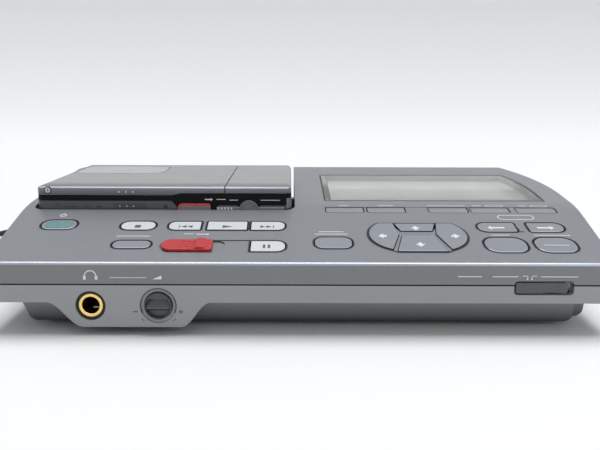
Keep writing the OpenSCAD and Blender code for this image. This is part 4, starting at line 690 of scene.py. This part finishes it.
def outlined(x0, x1, y0, y1, radii, line):
    """The line of a rounded rectangle, as the quads between it and its inset."""
    thinner = tuple(r - line for r in radii)
    outer, inner = rounded(x0, x1, y0, y1, radii), rounded(x0 + line, x1 - line, y0 + line, y1 - line, thinner)
    n = len(outer)
    return [[outer[i], outer[(i + 1) % n], inner[(i + 1) % n], inner[i]] for i in range(n)]


panel_lines = [bar(-75.4, -61.8, 21.2, 21.6), bar(4.2, 17.4, 23.4, 23.8), bar(5.8, 15.8, 25.4, 25.8),
               bar(75.2, 82.6, 22.8, 23.2), bar(92.4, 107, 22.8, 23.2), bar(-48.6, -44.6, 23.2, 23.6)]
panel_lines += [arrow_mark(-41, 23.2, 5.2, 1.6, 0), bar(-102.3, -101.8, 40.2, 41.8)]
panel_lines += outlined(81.9, 97.3, 37, 41.4, (2.1,) * 4, 0.35)
printed("panel_prints", panel_lines, key_panel, 0, ink_white, "station",
        arcs=[(-102.05, 40.2, 1.0, 1.4, 120, 300)])
function_lines = [bar(x0, x1, 1.7, 2.1) for x0, x1 in ((15.4, 20), (32.8, 39.4), (54.2, 71), (74, 78), (94, 98))]
for x0, x1 in ((80, 87.6), (99.6, 107)):
    function_lines += outlined(x0, x1, 0.8, 3, (1.05,) * 4, 0.25)
printed("function_prints", function_lines, function_row, 0, ink_white, "station")
front_marks = [bar(-73.5, -59.6, 22.65, 22.85), bar(-83.4, -82.4, 21.9, 23.4), bar(-79, -78, 21.9, 23.4),
               [(-57.4, 22.1), (-54, 22.1), (-54, 23.6)], bar(81.2, 83.2, 23.6, 23.85), bar(83, 83.25, 22.6, 23.85),
               bar(82.85, 83.4, 22.2, 22.7), bar(84.6, 86.6, 23.6, 23.85), bar(84.6, 84.85, 22.6, 23.85),
               bar(84.45, 85, 22.2, 22.7), bar(57, 66, 23.3, 23.6), bar(70, 79.6, 23.3, 23.6),
               bar(88, 102, 23.3, 23.6)]
printed("front_prints", front_marks, front_face, 0, ink_white, "station",
        arcs=[(-80.7, 23.2, 2, 2.4, 0, 180)])
knob_marks = [bar(-65.2, -63.4, 9.2, 9.5), bar(-48, -46.2, 9.2, 9.5), bar(-47.25, -46.95, 8.45, 10.25)]
printed("switch_rim_painted_shade", outlined(78.35, 100.85, 16.3, 21.7, (1.5,) * 4, 0.3), front_face, 0, dark_print_and_painted_shade, "station")
printed("knob_prints", knob_marks, front_face, 0, dark_print_and_painted_shade, "station",
        arcs=[(knob_x, jack_z, r0, r1, start, sweep) for r0, r1, start, sweep in
              ((6.6, 6.95, -25, 230), (8, 8.25, 218, 9), (8, 8.25, 313, 9))])

# Strip in the parting line.
# A near-black strip in the gap between upper and lower case at the front, painted shade of the parting line.
# It is cut out at the input switch.


def plate(name, outlines, plane, low, high, material, body, edge=0.0):
    """Flat plates of the given outlines, from low to high over a plane, with top rims rounded by edge."""
    bm = bmesh.new()
    for outline in outlines:
        bm.faces.new([bm.verts.new((x, y, low)) for x, y in outline])
    thicken(bm, bm.faces[:], (0, 0, high - low))
    bmesh.ops.recalc_face_normals(bm, faces=bm.faces)
    if edge:
        top_rim = [e for e in bm.edges if all(abs(v.co.z - high) < 1e-5 for v in e.verts)]
        bmesh.ops.bevel(bm, geom=top_rim, offset=edge, segments=3, profile=0.5, affect="EDGES", material=-1)
    bmesh.ops.transform(bm, matrix=plane @ in_metres, verts=bm.verts)
    return piece(name, bm, material, body)


parting_painted_shade = finish("parting_painted_shade", linear(8, 8, 9), 0.9, grain=3000, depth=0.03, tone=0.2)
shader_of(parting_painted_shade)["Specular IOR Level"].default_value = 0.1
plate("parting_line_painted_shade", [bar(-116.2, 78.4, 19.74, 20.26), bar(100.8, 111.6, 19.74, 20.26)], front_face, -0.5, 0,
      parting_painted_shade, "station")

# Bar and tab between the keys.
# Low ribs of the case between the cursor keys and between the two arrow keys, moulded with the panel.
plate("cursor_bar", [rounded(39.2, 50.8, 19.6, 21.4, 0.7)], key_panel, 0, 0.3, key_grey, "station",
      0.25)
plate("arrow_tab", [[(87.7, 25.8), (89.2, 25.8), (90.3, 31.6), (87.1, 31.6)]], key_panel, 0, 0.45, case_paint,
      "station", 0.15)

# Teal lens of the power key.
# A translucent plate let into the grey key, flush but for a hair.
lens_teal = finish("lens_teal", linear(102, 148, 150), 0.25, grain=1200, depth=0.0, tone=0.05, coat=0.3)
plate("power_lens", [rounded(-106.9, -95.6, 28.2, 34.2, 2.6)], key_panel, key_top, key_top + 0.12, lens_teal,
      "power_key", 0.06)

# Grip dashes of the record slider.
# Shallow raised dashes in three rows, each row a little further right, moulded with the slider.
dash_rows = [(x + 0.5 * row, 10.9 + 2.1 * row) for row in range(3) for x in (-49.4, -47.2, -45, -42.8)]
dashes = [[(x, v), (x + 1.3, v), (x + 1.5, v + 0.5), (x + 0.2, v + 0.5)] for x, v in dash_rows]
# The dashes are a darker red than the slider, as painted shade.
dash_red_painted_shade = finish("dash_red_painted_shade", linear(150, 40, 46), 0.4, grain=1800, depth=0.0, tone=0.06)
printed("slider_dashes", dashes, key_panel, 0.9, dash_red_painted_shade, "slider")

# Recorder case and black band.
# A dark grey painted case, with a black moulded band below the lid that widens to the control panel.
recorder_x, recorder_y, recorder_z = -115.8, 46 + front_y, 19.5
recorder_at = Matrix.Translation((recorder_x * MM, recorder_y * MM, recorder_z * MM))
recorder_paint = finish("recorder_paint", linear(78, 83, 89), 0.42, grain=2200, depth=0.015, tone=0.08, metallic=0.2)
band_black = finish("band_black", linear(12, 13, 17), 0.5, grain=2200, depth=0.02, tone=0.1)
shader_of(band_black)["Specular IOR Level"].default_value = 0.12
softened("recorder_case", 0.25, recorder_paint)
softened("recorder_front_panel", 0.15, band_black)

# Lid and battery cover.
# Pressed aluminium skins with a satin finish and rolled front edges; they swing on one steel pin.
lid_silver_painted_front_shade = finish("lid_silver_painted_front_shade", linear(160, 163, 163), 0.45, grain=2600, depth=0.01, tone=0.06, metallic=0.25,
                    coat=0.1)
# The skins are painted darker towards the front, as painted shade and reflection before the rolled edge.
zoned(lid_silver_painted_front_shade, "Y", -8, -16, linear(120, 124, 129))
# A painted highlight on the rolled front edge, and on the front face a darker copy of the skin as painted shade,
# darker still towards the bottom.
lid_painted_highlight = finish("lid_painted_highlight", linear(150, 155, 162), 0.38, grain=2600, depth=0.01, tone=0.05, metallic=0.45)
lid_front_painted_shade = finish("lid_front_painted_shade", linear(112, 115, 119), 0.38, grain=2600, depth=0.01, tone=0.06, metallic=0.4)
zoned(lid_front_painted_shade, "Z", 48.8, 46, linear(72, 73, 76))
lid_painted_light_faces = [(lambda at, facing: facing.y < -0.8, lid_front_painted_shade),
             (lambda at, facing: facing.y < -0.4 and facing.z > 0.4, lid_painted_highlight)]
for node in ("recorder_lid", "battery_cover"):
    softened(node, 0.25, lid_silver_painted_front_shade, picks=lid_painted_light_faces)
dress(bright_zinc, "hinge_pin")

# Window in the lid.
# Smoked plastic, let into the lid and flush with it.
# Its pale colour is partly painted reflection of the bright room.
smoked_and_painted_reflection = finish("smoked_and_painted_reflection", linear(186, 189, 188), 0.1, grain=80, depth=0.0, tone=0.03)
shader_of(smoked_and_painted_reflection)["Transmission Weight"].default_value = 0.4
dress(smoked_and_painted_reflection, "lid_window")

# Outline of the window in the lid.
# The dark seam round the let-in plastic.
lid_h = 31.1
lid_top = recorder_at @ Matrix.Translation((0, 0, lid_h * MM))
printed("lid_window_seam", outlined(2.6, 47, 44, 75, (8, 1.5, 1.5, 8), 0.35), lid_top, 0, dark_print_and_painted_shade, "lid")

# Small fittings on the recorder's front.
# A cross-head screw in a dark cup at the lid's left end, a dark inset with another screw beside it,
# and printed dots, lines and arrows.
recorder_front = recorder_at @ Matrix.Rotation(math.radians(90), 4, "X")


def ring_of(x, y, r, steps=24):
    """The outline of a disc."""
    turns = [2 * math.pi * k / steps for k in range(steps)]
    return [(x + r * math.cos(t), y + r * math.sin(t)) for t in turns]


screw_x, screw_z = 5.1, 29.3
plate("lid_screw_cup", [ring_of(screw_x, screw_z, 1.6)], recorder_front, -0.6, 0.02, dark_print_and_painted_shade, "lid")
plate("lid_screw", [ring_of(screw_x, screw_z, 1.15)], recorder_front, -0.6, 0.08, bright_zinc, "lid",
      0.05)
plate("lid_screw_cross", [bar(4.35, 5.85, 29.18, 29.42), bar(4.98, 5.22, 28.55, 30.05)], recorder_front, -0.5, 0.1,
      dark_print_and_painted_shade, "lid")
inset_grey = finish("inset_grey", linear(62, 66, 72), 0.45, grain=2200, depth=0.015, tone=0.08)
plate("case_inset", [rounded(33.2, 47.5, 19.8, 23.6, 0.4)], recorder_front, -0.3, 0.06, inset_grey, "recorder")
plate("case_screw", [ring_of(55.9, 22.2, 0.95)], recorder_front, -0.3, 0.1, dark_print_and_painted_shade, "recorder",
      0.04)
printed("lid_dots", [], recorder_front, 0, ink_white, "lid",
        arcs=[(x, 28.6, 0.0, 0.32, 0, 360) for x in (35.9, 38.9, 41.8)])
printed("case_dots", [], recorder_front, 0.06, ink_white, "recorder",
        arcs=[(x, 22.4, 0.0, 0.26, 0, 360) for x in (36.1, 39.1, 42)])
record_lines = [arrow_mark(74.7, 25.4, 3.4, 1.4, 0), bar(78, 82, 25.3, 25.6), bar(83.6, 87.4, 25, 25.25),
                bar(97.2, 105.6, 25, 25.25)]
printed("record_mark", record_lines, recorder_front, 0, ink_white, "recorder")
case_lines = [bar(12, 17.5, 22.2, 22.5), bar(20.5, 23.5, 22.2, 22.5), [(25.5, 21.9), (28.5, 21.9), (27.2, 22.7)]]
printed("case_marks", case_lines, recorder_front, 0, dark_print_and_painted_shade, "recorder",
        arcs=[(9.5, 22.2, 0.8, 1.05, 0, 180)])

# Rail and corner of the recorder.
# A pale rail with ribs, on which slider and lever run, and the pale corner of the case under the cover.
rail_out = 0.7
plate("control_rail", [bar(78, 107.4, 20.6, 22.2)], recorder_front, 0, rail_out, lid_silver_painted_front_shade, "recorder",
      0.2)
plate("rail_ribs", [bar(x, x + 0.7, 21, 22) for x in (78.6, 80, 81.4, 82.8, 84.2)], recorder_front, rail_out, 0.85,
      ink_white, "recorder")
corner_x, corner_v, corner_start, corner_sweep = 107.5, 3, 0.3, 1.27
corner_profile = ((3, 21.6), (3.1, 21.6), (3.1, 26), (3, 26))
bm = bmesh.new()
corner_end = [bm.verts.new((corner_x + r * math.sin(corner_start), corner_v - r * math.cos(corner_start), z))
              for r, z in corner_profile]
bmesh.ops.spin(bm, geom=[bm.faces.new(corner_end)], cent=(corner_x, corner_v, 0), axis=(0, 0, 1), angle=corner_sweep,
               steps=10)
bmesh.ops.recalc_face_normals(bm, faces=bm.faces)
bmesh.ops.transform(bm, matrix=recorder_at @ in_metres, verts=bm.verts)
piece("case_corner", bm, lid_silver_painted_front_shade, "recorder")

# Record slider and thumb lever of the recorder.
# A red slide with a plain grey face plate, and a half-round grey lever with curved grips.
lever_grey = finish("lever_grey", linear(112, 114, 114), 0.45, grain=1800, depth=0.02, tone=0.1)
softened("recorder_record_slider", 0.12, record_red)
plate("record_face", [rounded(62.4, 75.4, 19.7, 22.7, 0.5)], recorder_front, 1.05, 1.3, lever_grey, "recorder_slider",
      0.12)
softened("thumb_lever", 0.15, lever_grey)
printed("lever_grips", [], recorder_front, 1.1, ink_dark, "lever",
        arcs=[(92.1, 20.8, r, r + 0.3, 8, 164) for r in (2.6, 3.5)])

# Mechanism under the lid.
# A zinc chassis on posts, the spindle motor with its turntable, the pickup on rod and screw, battery and disc.
motor_grey = finish("motor_grey", linear(96, 98, 102), 0.4, grain=900, depth=0.02, tone=0.1, metallic=0.6)
battery_wrap = finish("battery_wrap", linear(88, 90, 95), 0.35, grain=700, depth=0.01, tone=0.08)
cartridge_smoke = finish("cartridge_smoke", linear(70, 80, 94), 0.22, grain=900, depth=0.01, tone=0.08)
disc_mirror = finish("disc_mirror", linear(205, 196, 214), 0.12, grain=300, depth=0.0, tone=0.06, metallic=1.0)
dress(bright_zinc, "mechanism_chassis", "turntable", "lead_screw")
dress(motor_grey, "spindle_motor")
dress(socket_black, "optical_pickup")
dress(battery_wrap, "battery_pack")
dress(cartridge_smoke, "disc_cartridge")
dress(disc_mirror, "disc")
